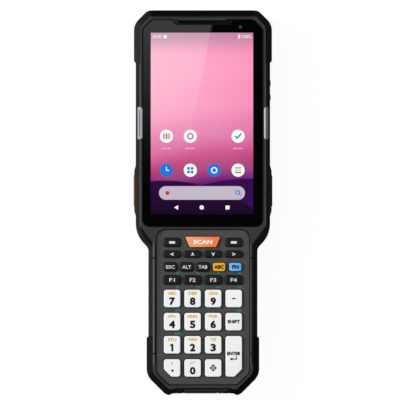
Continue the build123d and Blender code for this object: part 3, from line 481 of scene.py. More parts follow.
def light_bar_finish():
    """Frosted light guide with round ends and painted light: a painted highlight along its inner
    edge.
    The left one, which faces the light, is painted paler, with a painted highlight all round a
    darker core; the right one is painted darker outwards, as painted shade."""
    paint = Paint("light_bar", specular=0.4)
    x, y, _ = paint.axes(paint.place)
    half = paint.unsigned(x)
    right = paint.above(x, 0.0)
    # The left bar painted paler, with a painted highlight round a darker core; the right bar
    # painted darker outwards as painted shade; both with a painted highlight along their inner
    # edge.
    lit_left_bar = paint.coat(
        srgb(168, 170, 176), (paint.step(half, *BAR_OUTER), BAR_DARK),
        (paint.patch(half, y, LEFT_BAR_SHADED_CORE), srgb(104, 107, 116)),
    )
    right_shade = paint.linear(half, 1 / BAR_SHADE_WIDTH, -BAR_SHADE_START / BAR_SHADE_WIDTH)
    outer = paint.mix(right, lit_left_bar, paint.ramp(right_shade, RIGHT_BAR_SHADING))
    inset = paint.linear(right, -LEFT_INSET, LEFT_INSET)
    outwards = paint.step(paint.maths("ADD", half, inset), *BAR_INNER_HIGHLIGHT)
    inner_highlighted = paint.mix(outwards, srgb(240, 243, 248), outer)
    from_middle = paint.unsigned(paint.less(y, (BAR_START + BAR_END) / 2))
    straight = (BAR_END - BAR_START) / 2 - BAR_ROUND
    beyond = paint.larger(paint.less(from_middle, straight), 0.0)
    reach = paint.distance(half, beyond, BAR_AXIS, 0.0)
    past_end = paint.times(paint.step(reach, *BAR_PAST_END), paint.above(beyond, 0.0))
    colour = paint.mix(past_end, inner_highlighted, BAR_DARK)
    return paint.mould(colour, roughness=0.4, grain=0.25, depth=0.002, edge=0.2, worn=0.05)


def bead_finish():
    """Black bead standing for the shade in the glass's gap, with a painted glow of the left light
    bar on the side that lies against the bar.
    """
    paint = Paint("bead_rubber", specular=0.1)
    x, y, _ = paint.axes(paint.place)
    colour = paint.mix(paint.patch(x, y, BEAD_PAINTED_GLOW), grey(10), LEFT_PAINTED_GLOW)
    return paint.mould(colour, roughness=0.7, edge=0.1)


def rubber_finish(name, shade, specular):
    return moulding(name, grey(shade), specular, roughness=0.55, grain=0.22, depth=0.008, edge=0.3)


GLARE_SLANT = 0.19                  # how far the glare's edge leans, X for each Y
SKY = [(0.17, srgb(104, 26, 118)), (0.26, srgb(178, 60, 122)), (0.35, srgb(214, 96, 149)),
       (0.44, srgb(226, 121, 173)), (0.56, srgb(249, 140, 186)), (0.73, srgb(253, 150, 191))]
GROUND = [(0.0, srgb(26, 7, 34)), (0.18, srgb(46, 8, 66))]
RIPPLE_LENGTH = 17.0
RIPPLE_MIDDLE = (12.0, -30.0)       # X, and Y from the lit area's lower edge
FAR_HILL = (26.0, -88.0, 106.8)     # the same, and radius
NEAR_HILL = (-20.0, -62.0, 79.8)
HILL_BLUR = 0.4
GLARE_STREAK_EDGE = (-12.8, -13.4)          # X of the painted glare streak's slanted edge at the middle


def screen_picture(paint, x, y):
    """Home screen's background: a pink to violet glow with ripples over a dark round horizon,
    under painted glare, paler towards the upper left and in a streak beyond a slanted edge.
    """
    bottom = screen_bottom / MM
    height = (screen_top - screen_bottom) / MM
    climb = paint.linear(y, 1 / height, -bottom / height)
    across = paint.linear(x, 1 / SCREEN_HALF, -SCREEN_X / SCREEN_HALF)

    def reach(from_x, from_y):
        return paint.distance(x, y, from_x, bottom + from_y)

    def hill(from_x, from_y, radius):
        return paint.step(reach(from_x, from_y), radius + HILL_BLUR, radius - HILL_BLUR)

    glow = paint.ramp(paint.linear(across, -0.035, climb), SKY)
    rings = paint.times(reach(*RIPPLE_MIDDLE), 2 * math.pi / RIPPLE_LENGTH)
    ripple = paint.linear(paint.maths("SINE", rings), 0.02, 0.02)
    # Painted glare: a paler haze towards the upper left, and a paler streak beyond a slanted edge.
    painted_glare = paint.times(paint.linear(across, -0.22, 0.22), paint.step(climb, 0.28, 0.66))
    in_glare_streak = paint.step(paint.linear(y, -GLARE_SLANT, x), *GLARE_STREAK_EDGE)
    painted_glare_streak = paint.times(in_glare_streak, paint.step(climb, 0.3, 1.1), 0.11)
    status_bar = paint.times(paint.step(climb, 0.86, 1.0), 0.52)
    return paint.coat(
        glow, (ripple, srgb(255, 225, 240)), (painted_glare, srgb(255, 206, 222)), (painted_glare_streak, PURE_WHITE),
        (hill(*FAR_HILL), srgb(54, 10, 80)), (hill(*NEAR_HILL), paint.ramp(climb, GROUND)),
        (status_bar, srgb(110, 110, 130)),
    )


def glass_finish():
    """Cover glass: black printed border, and the lit picture inside it."""
    paint = Paint("cover_glass")
    x, y, _ = paint.axes(paint.place)
    inside = paint.times(
        paint.above(SCREEN_HALF, paint.unsigned(paint.less(x, SCREEN_X))),
        paint.above(screen_top / MM, y), paint.above(y, screen_bottom / MM),
    )
    paint.set("Emission Color", paint.mix(inside, PURE_BLACK, screen_picture(paint, x, y)))
    paint.set("Emission Strength", 1.0)
    paint.set("Base Color", grey(2, 0))
    paint.set("Roughness", paint.linear(paint.grain(0.5 * MM)["Blotch"], 0.02, 0.005))
    return paint.material


LENS_RINGS = [(0.0, srgb(6, 8, 20)), (0.22, srgb(22, 28, 60)), (0.36, grey(8, 2)),
              (0.62, srgb(40, 41, 44)), (0.70, grey(10)), (0.86, srgb(58, 59, 62))]
LENS_RADIUS = 4.0


def lens_finish():
    """Camera lens: rings of dark glass under a clear front."""
    paint = Paint("camera_lens")
    x, y, _ = paint.axes(paint.place)
    low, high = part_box("rear_camera")
    centre = (low + high) / 2 / MM
    radius = paint.distance(x, y, centre.x, centre.y)
    paint.set("Base Color", paint.ramp(paint.times(radius, 1 / LENS_RADIUS), LENS_RINGS))
    paint.set("Roughness", paint.linear(paint.grain(0.2 * MM)["Blotch"], 0.05, 0.02))
    return paint.material


def window_finish():
    """Deep red scan window."""
    paint = Paint("scan_window")
    blotch = paint.grain(0.3 * MM)["Blotch"]
    paint.set("Base Color", paint.mix(blotch, srgb(52, 6, 8), srgb(34, 4, 6)))
    paint.set("Roughness", paint.linear(blotch, 0.05, 0.03))
    paint.set("Coat Weight", 0.6)
    return paint.material


def metal_finish(name, colour, roughness, stretch):
    """Brushed or turned metal, its lines along X by the stretch."""
    paint = Paint(name)
    mapping = paint.node("Mapping")
    mapping.inputs["Scale"].default_value = (1.0 / stretch, 1.0, 1.0)
    paint.feed(mapping.inputs["Vector"], paint.place)
    lines = paint.noise(mapping.outputs["Vector"], 0.15 * MM, 3.0)
    paint.set("Base Color", paint.mix(lines, colour, dimmed(colour, 0.6)))
    paint.set("Roughness", paint.linear(lines, 0.25, roughness - 0.1))
    paint.set("Normal", paint.bump(lines, 0.004 * MM))
    paint.set("Metallic", 1.0)
    return paint.material


def board_finish():
    """Green solder mask with paler tracks and pads."""
    paint = Paint("circuit_board")
    bricks = paint.node("TexBrick")
    for socket, value in {
        "Scale": 1.0 / (9 * MM), "Mortar Size": 0.05, "Color1": srgb(10, 58, 34),
        "Color2": srgb(12, 66, 40), "Mortar": srgb(30, 104, 62), "Vector": paint.place,
    }.items():
        paint.feed(bricks.inputs[socket], value)
    cells = paint.node("TexVoronoi")
    cells.inputs["Scale"].default_value = 1.0 / (2.4 * MM)
    paint.feed(cells.inputs["Vector"], paint.place)
    pads = paint.step(cells.outputs["Distance"], 0.2, 0.16)
    paint.set("Base Color", paint.mix(pads, bricks.outputs["Color"], srgb(170, 140, 74)))
    paint.set("Roughness", paint.linear(pads, -0.15, 0.4))
    paint.set("Normal", paint.bump(pads, 0.02 * MM))
    return paint.material


def ink(name, colour, glow=0.0):
    """Printed lettering, slightly uneven; with a glow it is part of the lit picture."""
    paint = Paint(name, 0.5 if glow else 0.3)
    share = paint.times(paint.grain(0.12 * MM)["Height"], 0.12)
    mottled = paint.mix(share, colour, dimmed(colour, 0.5))
    if glow:
        paint.set("Emission Color", mottled)
        paint.set("Emission Strength", glow)
        paint.set("Base Color", grey(6))
        paint.set("Roughness", 0.03)
    else:
        paint.set("Base Color", mottled)
        paint.set("Roughness", paint.linear(share, 0.5, 0.45))
    return paint.material


KEY_SHADE_HEIGHTS = (key_top / MM - 0.25, key_top / MM - 0.1)     # heights over which the painted shade on the sides gives way to the top's colour
# the painted shade on the keys' sides
KEY_SKIRT_SHADE = srgb(30, 31, 34)


def key_finish(name, colour, specular=0.4, paler=None):
    """Key cap whose sides, below its top, are painted dark as painted shade in the gaps round the
    key.
    A paler colour, a painted highlight on the side that faces the light, comes in towards the
    key's left end."""
    paint = Paint(name, specular)
    x, _, z = paint.axes(paint.place)
    if paler:
        low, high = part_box(name)
        colour = paint.mix(paint.step(x, high.x / MM, low.x / MM), colour, paler)
    # Painted shade on the key's sides, under the colour of its top.
    cap = paint.mix(paint.step(z, *KEY_SHADE_HEIGHTS), KEY_SKIRT_SHADE, colour)
    return paint.mould(cap, roughness=0.42, grain=0.2, depth=0.002, edge=0.15, worn=0.01,
                       mottle=0.06)


def dress(finish, *nodes):
    """Give the frame's nodes a finish."""
    for name in nodes:
        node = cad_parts[name]
        if not node.material_slots:
            node.data.materials.append(finish)
        for slot in node.material_slots:
            slot.material = finish


def keys(names):
    return ["key_" + name for name in names.split()]


DARK_KEYS = keys("soft_left soft_right left up down right escape alt tab f1 f2 f3 f4")
WHITE_KEYS = keys("7 8 9 minus 4 5 6 shift 1 2 3 enter point 0 menu")


def dress_nodes():
    dress(case_finish(), "front_housing")
    dress(moulding("rear_plastic", grey(50, 2), roughness=0.52, grain=0.45, depth=0.014,
                   edge=0.35, worn=0.06), "rear_housing")
    dress(rubber_finish("bumper_rubber", 22, 0.14), "bumper_top_left", "bumper_top_right")
    # The lower bumpers: the same rubber painted darker, as painted shade, with less sheen.
    dress(rubber_finish("worn_bumper_rubber", 15, 0.07), "bumper_bottom_left",
          "bumper_bottom_right")
    dress(glass_finish(), "display_glass")
    dress(panel_finish(), "keypad_panel")
    dress(light_bar_finish(), "status_light_bars")
    dress(key_finish("key_white", srgb(250, 251, 252)), *WHITE_KEYS)
    dress(key_finish("key_black", grey(24), specular=0.3), *DARK_KEYS)
    # The scan and function keys are painted paler towards the left, a painted highlight on their
    # lit side.
    dress(key_finish("key_scan", srgb(255, 124, 48), paler=srgb(255, 166, 120)), "key_scan")
    dress(key_finish("key_amber", srgb(250, 176, 28)), "key_alpha")
    dress(key_finish("key_function", srgb(74, 178, 255), paler=srgb(124, 196, 238)),
          "key_function")
    dress(moulding("trigger_orange", srgb(246, 132, 48), specular=0.4), "trigger_left")
    dress(moulding("trigger_black", grey(20)), "trigger_right", "volume_rocker")
    dress(port_cover_finish(), "port_cover")
    dress(moulding("battery_shell", grey(30, 2), grain=0.4, depth=0.01), "battery_pack")
    dress(moulding("catch_plastic", srgb(70, 71, 74)), "battery_catches")
    dress(moulding("silicone", srgb(120, 122, 126), roughness=0.7), "keypad_membrane",
          "housing_seal")
    dress(window_finish(), "scan_window")
    dress(moulding("engine_shell", srgb(40, 42, 46)), "scan_engine", "speaker")
    dress(lens_finish(), "rear_camera", "front_camera")
    dress(board_finish(), "main_board", "keypad_board")
    dress(metal_finish("brushed_chassis", srgb(176, 178, 182), 0.4, 12.0), "display_chassis")
    dress(metal_finish("dark_steel", srgb(92, 93, 96), 0.35, 1.0), "case_screws",
          "port_cover_pin", "charging_socket")
    dress(moulding("display_back", srgb(60, 62, 66), roughness=0.3), "display_module")


# ---------------------------------------------------------------- making thin pieces
def place_mesh(name, builder, materials):
    """Turn a bmesh into an object at the origin."""
    mesh = bpy.data.meshes.new(name)
    builder.to_mesh(mesh)
    builder.free()
    for material in materials:
        mesh.materials.append(material)
    thing = bpy.data.objects.new(name, mesh)
    scene.collection.objects.link(thing)
    return thing


def finish_piece(name, builder, body, materials):
    """Turn a bmesh into a piece that rides on a body."""
    bmesh.ops.recalc_face_normals(builder, faces=builder.faces)
    piece = place_mesh(name, builder, materials)
    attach(piece, body)


def add_shape(builder, shape, material):
    """Move a finished closed shape into the piece being built, in one of the piece's materials."""
    for face in shape.faces:
        face.material_index = material
    mesh = bpy.data.meshes.new("shape")
    shape.to_mesh(mesh)
    shape.free()
    builder.from_mesh(mesh)
    bpy.data.meshes.remove(mesh)


def add_disc(builder, x, y, low, radius, material=0, segments=32):
    """Flat disc at a place given in metres, its radius in millimetres."""
    shape = bmesh.new()
    bmesh.ops.create_cone(
        shape, cap_ends=True, segments=segments, radius1=radius * MM, radius2=radius * MM,
        depth=PRINT_DEPTH, matrix=Matrix.Translation((x, y, low + PRINT_DEPTH / 2)),
    )
    add_shape(builder, shape, material)


def add_bar(builder, x, y, low, size, corner, material=0, turn=0.0, depth=PRINT_DEPTH, steps=4):
    """Flat bar with round corners at a place given in metres. Its width along X, its length
    before it is turned, and its corners are in millimetres."""
    shape = bmesh.new()
    place = Matrix.Translation((x, y, low + depth / 2)) @ Matrix.Rotation(turn, 4, "Z")
    stretch = Matrix.Diagonal((size[0] * MM, size[1] * MM, depth, 1.0))
    bmesh.ops.create_cube(shape, size=1.0, matrix=place @ stretch)
    upright = [
        edge for edge in shape.edges if abs(edge.verts[0].co.z - edge.verts[1].co.z) > depth / 2
    ]
    bmesh.ops.bevel(
        shape, geom=upright, offset=corner * MM, segments=steps, profile=0.5, affect="EDGES",
        material=-1,
    )
    add_shape(builder, shape, material)


def raise_copy(builder, made, height):
    """Lift what an extrusion has made."""
    tops = [item for item in made["geom"] if isinstance(item, bmesh.types.BMVert)]
    bmesh.ops.translate(builder, verts=tops, vec=(0, 0, height))


def add_outline(builder, corners, x, y, low, material=0, turn=0.0):
    """Flat plate with straight edges through corners in millimetres, turned and then moved to a
    place given in metres."""
    cosine = math.cos(turn) * MM
    sine = math.sin(turn) * MM
    shape = bmesh.new()
    face = shape.faces.new([
        shape.verts.new((x + cosine * across - sine * along, y + sine * across + cosine * along,
                         low))
        for across, along in corners
    ])
    made = bmesh.ops.extrude_face_region(shape, geom=[face], use_keep_orig=True)
    raise_copy(shape, made, PRINT_DEPTH)
    add_shape(builder, shape, material)


def words_as_mesh(words):
    """The words as a flat closed mesh, one unit high in the font's own scale."""
    curve = bpy.data.curves.new("words", "FONT")
    curve.body = words
    curve.size = 1.0
    curve.extrude = 0.5
    curve.resolution_u = 3
    shown = bpy.data.objects.new("words", curve)
    scene.collection.objects.link(shown)
    graph = bpy.context.evaluated_depsgraph_get()
    mesh = bpy.data.meshes.new_from_object(shown.evaluated_get(graph))
    bpy.data.objects.remove(shown)
    bpy.data.curves.remove(curve)
    return mesh


def add_words(builder, words, x, y, low, height, material=0, bold=0.0, width=None):
    """Printed words round a place given in metres. Their whole height and their bold outline are
    in millimetres, and so is their width if it matters."""
    mesh = words_as_mesh(words)
    xs = [vertex.co.x for vertex in mesh.vertices]
    ys = [vertex.co.y for vertex in mesh.vertices]
    upright = (height - 2 * bold) * MM / (max(ys) - min(ys))
    across = (width - 2 * bold) * MM / (max(xs) - min(xs)) if width else upright
    centred = Matrix.Translation((-(min(xs) + max(xs)) / 2, -(min(ys) + max(ys)) / 2, 0))
    sized = Matrix.Diagonal((across, upright, PRINT_DEPTH, 1)) @ centred
    shifts = [(0.0, 0.0)]
    if bold:
        turns = [2 * math.pi * step / BOLD_STEPS for step in range(BOLD_STEPS)]
        shifts += [(bold * MM * math.cos(turn), bold * MM * math.sin(turn)) for turn in turns]
    for layer, (shift_x, shift_y) in enumerate(shifts):
        shape = bmesh.new()
        shape.from_mesh(mesh)
        bmesh.ops.remove_doubles(shape, verts=shape.verts, dist=0.0001)
        middle_height = low + PRINT_DEPTH / 2 + layer * PRINT_STEP
        place = Matrix.Translation((x + shift_x, y + shift_y, middle_height)) @ sized
        bmesh.ops.transform(shape, matrix=place, verts=shape.verts)
        add_shape(builder, shape, material)
    bpy.data.meshes.remove(mesh)


def middle(node):
    low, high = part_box(node)
    return (low.x + high.x) / 2, (low.y + high.y) / 2


# ---------------------------------------------------------------- key legends
INK_COLOURS = {
    "dark": srgb(20, 21, 24), "amber": srgb(234, 184, 44), "white": grey(226, 0),
    "cream": srgb(255, 248, 242), "navy": srgb(18, 40, 92), "teal": srgb(28, 140, 165),
    "grey": srgb(150, 152, 156),
}
INKS = {name: ink("legend_" + name, colour) for name, colour in INK_COLOURS.items()}
DIGIT_HEIGHT = 4.1
DIGIT_DROP = 1.45                   # digit's middle below the key's middle
DIGIT_WIDTHS = {"4": 3.25}          # the other digits are all as wide as each other
DIGIT_WIDTH = 3.0
DIGIT_BOLD = 0.3
LETTERS_HEIGHT = 1.7
LETTERS_WIDTHS = {"MNO": 5.2, "VWX": 5.2}
LETTER_WIDTH = 1.5                  # for each letter of the others
LETTERS_RISE = 2.7
LETTERS_BOLD = 0.12
DIGIT_LETTERS = {"7": "ABC", "8": "DEF", "9": "GHI", "4": "JKL", "5": "MNO", "6": "PQR",
                 "1": "STU", "2": "VWX", "3": "YZ", "0": "#*"}
WORD_KEYS = [                       # key, words, height, width and ink
    ("scan", "SCAN", 2.3, 9.9, "cream"),
    ("escape", "ESC", 1.8, 4.6, "white"),
    ("alt", "ALT", 1.8, 4.6, "white"),
    ("tab", "TAB", 1.8, 4.6, "white"),
    ("alpha", "ABC", 2.1, 5.2, "dark"),
    ("function", "FN", 2.1, 3.5, "navy"),
    ("f1", "F1", 2.0, 2.9, "white"),
    ("f2", "F2", 2.0, 3.1, "white"),
    ("f3", "F3", 2.0, 3.1, "white"),
    ("f4", "F4", 2.0, 3.3, "white"),
    ("shift", "SHIFT", 1.9, 6.6, "dark"),
]
WORD_BOLD = {"white": 0.04, "cream": 0.13, "dark": 0.15, "navy": 0.17}
SOFT_KEY_BAR = (3.3, 1.3)           # width and length of the bars
MINUS_BAR = (1.9, 0.65)
COMMA_BAR = (0.5, 1.4)
COMMA_TURN = -0.4
COMMA_RISE = 2.4 * MM
POINT_RADIUS = 0.65
POINT_SHIFT = (0.2 * MM, -1.4 * MM)
MENU_DOT_RADIUS = 0.5
FIGURE_ONE = [(0.65, -2.0), (0.65, 2.0), (-0.1, 2.0), (-1.15, 1.35), (-1.15, 0.55), (-0.4, 0.95),
              (-0.4, -2.0)]
ARROW_HEAD = [(1.15, 0.0), (-0.95, 0.95), (-0.4, 0.0), (-0.95, -0.95)]
ARROW_TURNS = {"left": 2, "up": 1, "down": -1, "right": 0}    # quarters
ENTER_ARROW = [(-2.1, 0.0), (-0.7, -0.95), (-0.7, -0.28), (1.7, -0.28), (1.7, 1.4), (1.2, 1.4),
               (1.2, 0.28), (-0.7, 0.28), (-0.7, 0.95)]
ENTER_ARROW_DROP = 1.4 * MM
ENTER_WORD_RISE = 1.5 * MM
ENTER_WORD_HEIGHT = 1.9
ENTER_WORD_WIDTH = 7.0
MENU_HEAD = [(2.0, 0.0), (0.75, 1.1), (0.75, -1.1)]
PANEL_WORDS = {"f1": "F5", "f2": "F6", "f3": "F7", "f4": "F8", "7": "F9", "8": "F10",
               "9": "F11", "minus": "F12", "4": "INS", "shift": "DEL", "1": "END"}
PANEL_WORDS_SHIFT = (2.9 * MM, 0.6 * MM)      # from the key's middle and its upper edge
PANEL_WORDS_HEIGHT = 1.2
PANEL_WORDS_BOLD = 0.05


def legend(name, inks, draw):
    """One key's printing, drawn by a function that takes the builder and the key's middle."""
    builder = bmesh.new()
    key = "key_" + name
    x, y = middle(key)
    draw(builder, x, y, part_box(key)[1].z)
    finish_piece("legend_" + name, builder, key, [INKS[colour] for colour in inks])


def digit_legend(digit, letters):
    def draw(builder, x, y, top):
        lower = y - DIGIT_DROP * MM
        if digit == "1":
            add_outline(builder, FIGURE_ONE, x, lower, top)
        else:
            add_words(builder, digit, x, lower, top, DIGIT_HEIGHT, 0, DIGIT_BOLD,
                      DIGIT_WIDTHS.get(digit, DIGIT_WIDTH))
        bold = LETTERS_BOLD if letters.isalpha() else 0.0
        add_words(builder, letters, x, y + LETTERS_RISE * MM, top, LETTERS_HEIGHT, 1, bold,
                  LETTERS_WIDTHS.get(letters, LETTER_WIDTH * len(letters)))

    legend(digit, ["dark", "amber"], draw)


def word_legend(name, words, height, width, colour):
    def draw(builder, x, y, top):
        add_words(builder, words, x, y, top, height, 0, WORD_BOLD[colour], width)

    legend(name, [colour], draw)


def arrow_legend(name, quarters):
    def draw(builder, x, y, top):
        add_outline(builder, ARROW_HEAD, x, y, top, turn=quarters * math.pi / 2)

    legend(name, ["white"], draw)


def soft_key_legend(builder, x, y, top):
    add_bar(builder, x, y, top, SOFT_KEY_BAR, 0.6)


def enter_legend(builder, x, y, top):
    add_words(builder, "ENTER", x, y + ENTER_WORD_RISE, top, ENTER_WORD_HEIGHT, 0,
              WORD_BOLD["dark"], ENTER_WORD_WIDTH)
    add_outline(builder, ENTER_ARROW, x, y - ENTER_ARROW_DROP, top)


def minus_legend(builder, x, y, top):
    add_bar(builder, x, y, top, MINUS_BAR, 0.1)


def point_legend(builder, x, y, top):
    across, along = POINT_SHIFT
    add_disc(builder, x + across, y + along, top, POINT_RADIUS)
    add_bar(builder, x, y + COMMA_RISE, top, COMMA_BAR, 0.2, 1, COMMA_TURN)


def menu_legend(builder, x, y, top):
    """Four heads pointing outwards round a dot."""
    for quarter in range(4):
        add_outline(builder, MENU_HEAD, x, y, top, turn=quarter * math.pi / 2)
    add_disc(builder, x, y, top, MENU_DOT_RADIUS)


def make_legends():
    for digit in DIGIT_LETTERS.items():
        digit_legend(*digit)
    for word_key in WORD_KEYS:
        word_legend(*word_key)
    legend("soft_left", ["white"], soft_key_legend)
    legend("soft_right", ["white"], soft_key_legend)
    for arrow in ARROW_TURNS.items():
        arrow_legend(*arrow)
    legend("enter", ["dark"], enter_legend)
    legend("minus", ["dark"], minus_legend)
    legend("point", ["dark", "grey"], point_legend)
    legend("menu", ["dark"], menu_legend)


def make_panel_words():
    """Second functions, printed on the panel above the keys' right ends."""
    builder = bmesh.new()
    across, along = PANEL_WORDS_SHIFT
    for name, words in PANEL_WORDS.items():
        key = "key_" + name
        x = middle(key)[0] + across
        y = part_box(key)[1].y + along
        add_words(builder, words, x, y, panel_top, PANEL_WORDS_HEIGHT, 0, PANEL_WORDS_BOLD)
    finish_piece("panel_legends", builder, "terminal", [INKS["teal"]])


# ---------------------------------------------------------------- what the display shows
UI_COLOURS = {
    "white": srgb(255, 255, 255), "blue": srgb(28, 118, 226), "red": srgb(206, 44, 52),
    "green": srgb(40, 168, 104), "amber": srgb(246, 178, 44), "grey": srgb(199, 188, 203),
    "pink": srgb(238, 178, 206),
}
UI_INKS = [ink("screen_" + name, colour, 1.0) for name, colour in UI_COLOURS.items()]
WHITE, BLUE, RED, GREEN, AMBER, GREY, PINK = range(len(UI_INKS))
ICON_RADIUS = 3.45
ICON_COLUMNS = [column * MM for column in (-19.1, -6.6, 5.9, 18.4)]
UPPER_ROW = 41.0 * MM               # rows of the screen, from the lit area's lower edge
LOWER_ROW = 23.2 * MM
SEARCH_ROW = 11.3 * MM
NAVIGATION_ROW = 3.7 * MM
STATUS_ROW = 2.0 * MM               # from its upper edge
CAPTION_DROP = 6.4 * MM
CAPTION_WORDS = [(-1.4, 2.3), (1.2, 2.2)]     # middle and width
CAPTION_HEIGHT = 0.6
CODE_BARS = [(-1.5, 0.5), (-0.75, 0.3), (0.0, 0.6), (0.8, 0.3), (1.45, 0.5)]
CODE_HEIGHT = 3.0
RING_RADII = (1.7, 1.05)            # outside and inside
LINE_SIZE = (3.4, 0.6)
LINE_PITCH = 1.2
CLOCK_HANDS = [(0.0, 0.75, (0.5, 2.0)), (0.65, -0.1, (1.7, 0.5))]     # X, Y and size
TILE_OFFSETS = (-0.95, 0.95)
TILE_SIZE = (1.4, 1.4)
TICK = [(-1.8, 0.1), (-1.2, 0.7), (-0.5, 0.0), (1.4, 1.9), (2.0, 1.3), (-0.5, -1.3)]
TICK_DROP = 0.3 * MM
FIELD_SIZE = (45.0, 7.1)
FIELD_CORNER = 3.5
FIELD_DOT = (-18.6 * MM, 1.0)       # X and radius
MAGNIFIER = (18.2 * MM, 0.3 * MM)   # X, and Y from the field's middle
MAGNIFIER_RADII = (1.25, 0.8)
MAGNIFIER_GRIP = (19.4 * MM, -0.9 * MM)
GRIP_SIZE = (1.5, 0.45)
STATUS_WORDS = [("10:30", -24.0, 4.4), ("100%", 22.9, 4.8)]     # words, X and width
STATUS_HEIGHT = 1.8
STATUS_DOT = (-19.8 * MM, 0.95)     # X and radius
STATUS_BATTERY_X = 19.0 * MM
STATUS_BATTERY_SIZE = (1.1, 2.0)
NAVIGATION_COLUMNS = [column * MM for column in (-13.9, -0.6, 12.9)]
BACK_HEAD = [(-1.25, 0.0), (0.9, 1.2), (0.9, -1.2)]
HOME_RADIUS = 1.15
RECENT_SIZE = (2.1, 2.1)


def finish_screen_piece(name, builder):
    finish_piece(name, builder, "terminal", UI_INKS)


def icon_bars(builder, x, y, colour):
    for place, width in CODE_BARS:
        add_bar(builder, x + place * MM, y, symbol_level, (width, CODE_HEIGHT), 0.05, colour)


def icon_ring(builder, x, y, colour, inside):
    outer, inner = RING_RADII
    add_disc(builder, x, y, symbol_level, outer, colour)
    add_disc(builder, x, y, symbol_level + PRINT_DEPTH, inner, inside)


def icon_lines(builder, x, y, colours):
    for row, colour in enumerate(colours):
        line_y = y + (1 - row) * LINE_PITCH * MM
        add_bar(builder, x, line_y, symbol_level, LINE_SIZE, 0.25, colour)


def icon_clock(builder, x, y, colour):
    for across, along, size in CLOCK_HANDS:
        add_bar(builder, x + across * MM, y + along * MM, symbol_level, size, 0.2, colour)


def icon_grid(builder, x, y, colour):
    for across in TILE_OFFSETS:
        for along in TILE_OFFSETS:
            place = (x + across * MM, y + along * MM, symbol_level)
            add_bar(builder, *place, TILE_SIZE, 0.2, colour)


def make_icons():
    builder = bmesh.new()
    upper = screen_bottom + UPPER_ROW
    lower = screen_bottom + LOWER_ROW
    first, second, third, fourth = ICON_COLUMNS
    for x in (first, second, fourth):
        add_disc(builder, x, upper, glass_top, ICON_RADIUS, WHITE, 48)
        for offset, width in CAPTION_WORDS:
            add_bar(builder, x + offset * MM, upper - CAPTION_DROP, glass_top,
                    (width, CAPTION_HEIGHT), 0.2, PINK)
    icon_bars(builder, first, upper, RED)
    icon_ring(builder, second, upper, RED, WHITE)
    add_outline(builder, TICK, fourth, upper - TICK_DROP, symbol_level, GREEN)
    for x, colour in zip(ICON_COLUMNS, (BLUE, WHITE, BLUE, WHITE)):
        add_disc(builder, x, lower, glass_top, ICON_RADIUS, colour, 48)
    icon_clock(builder, first, lower, WHITE)
    icon_grid(builder, second, lower, BLUE)
    icon_ring(builder, third, lower, WHITE, BLUE)
    icon_lines(builder, fourth, lower, [GREEN, AMBER, RED])
    finish_screen_piece("screen_icons", builder)


def make_search_field():
    """Long round field with a dot at its left end and a magnifier at its right end."""
    builder = bmesh.new()
    y = screen_bottom + SEARCH_ROW
    lens_x, lens_rise = MAGNIFIER
    outer, inner = MAGNIFIER_RADII
    grip_x, grip_rise = MAGNIFIER_GRIP
    dot_x, dot_radius = FIELD_DOT
    add_bar(builder, SCREEN_X * MM, y, glass_top, FIELD_SIZE, FIELD_CORNER, GREY, steps=16)
    add_disc(builder, lens_x, y + lens_rise, symbol_level, outer, BLUE)
    add_disc(builder, lens_x, y + lens_rise, symbol_level + PRINT_DEPTH, inner, GREY)
    add_bar(builder, grip_x, y + grip_rise, symbol_level, GRIP_SIZE, 0.1, BLUE, -math.pi / 4)
    add_disc(builder, dot_x, y, symbol_level, dot_radius, RED)
    finish_screen_piece("screen_search_field", builder)


def make_status_row():
    builder = bmesh.new()
    y = screen_top - STATUS_ROW
    dot_x, dot_radius = STATUS_DOT
    for words, x, width in STATUS_WORDS:
        add_words(builder, words, x * MM, y, glass_top, STATUS_HEIGHT, WHITE, 0.0, width)
    add_disc(builder, dot_x, y, glass_top, dot_radius, WHITE, 24)
    add_bar(builder, STATUS_BATTERY_X, y, glass_top, STATUS_BATTERY_SIZE, 0.15, WHITE)
    finish_screen_piece("screen_status_row", builder)


def make_navigation_row():
    builder = bmesh.new()
    y = screen_bottom + NAVIGATION_ROW
    back, home, recent = NAVIGATION_COLUMNS
    add_outline(builder, BACK_HEAD, back, y, glass_top, WHITE)
    add_disc(builder, home, y, glass_top, HOME_RADIUS, WHITE)
    add_bar(builder, recent, y, glass_top, RECENT_SIZE, 0.3, WHITE)
    finish_screen_piece("screen_navigation_row", builder)


CAMERA_SHIFT = Vector((0.17 * MM, -0.59 * MM))    # the clear spot's middle from the camera's
CAMERA_RING_RADIUS = 1.0
CAMERA_PUPIL_RADIUS = 0.55


def make_camera_window():
    """Clear spot in the border over the front camera."""
    builder = bmesh.new()
    x, y = Vector(middle("front_camera")) + CAMERA_SHIFT
    add_disc(builder, x, y, glass_top, CAMERA_RING_RADIUS)
    add_disc(builder, x, y, symbol_level, CAMERA_PUPIL_RADIUS, 1)
    spot = [ink("camera_ring", srgb(24, 25, 27)), ink("camera_pupil", srgb(70, 72, 77))]
    finish_piece("front_camera_window", builder, "terminal", spot)


# ---------------------------------------------------------------- small fittings
SLIT_FROM_END = 1.05 * MM           # from the glass's upper end to the middle of the slit
MESH_SIZE = (25.2 * MM, 1.35 * MM)
MESH_HOLES = (52, 3)
MESH_DROP = 0.8 * MM                # under the rim
MESH_BAR = 0.1 * MM                 # each hole's edge, half the bar between two
MESH_THICKNESS = 0.15 * MM
BEAD_WIDTH = 0.6 * MM               # the bead outwards from the flat of the glass
BEAD_SHIFT = -0.1 * MM              # across, towards the left, where the shade in the gap is wider
SEAM_WEBS = [                       # from the middle, start and end along, width
    (27.0, 97.3, 100.3, 0.16), (26.9, 99.95, 100.74, 0.34), (14.0, -99.7, -97.3, 0.16),
]
WEB_BOTTOM = 4 * MM
WEB_HEIGHT = 17 * MM
LABEL_SIZE = (36.0, 44.0)
LABEL_DROP = 4.0 * MM
RIB_SIZE = (18.0, 0.7)
RIB_COUNT = 5
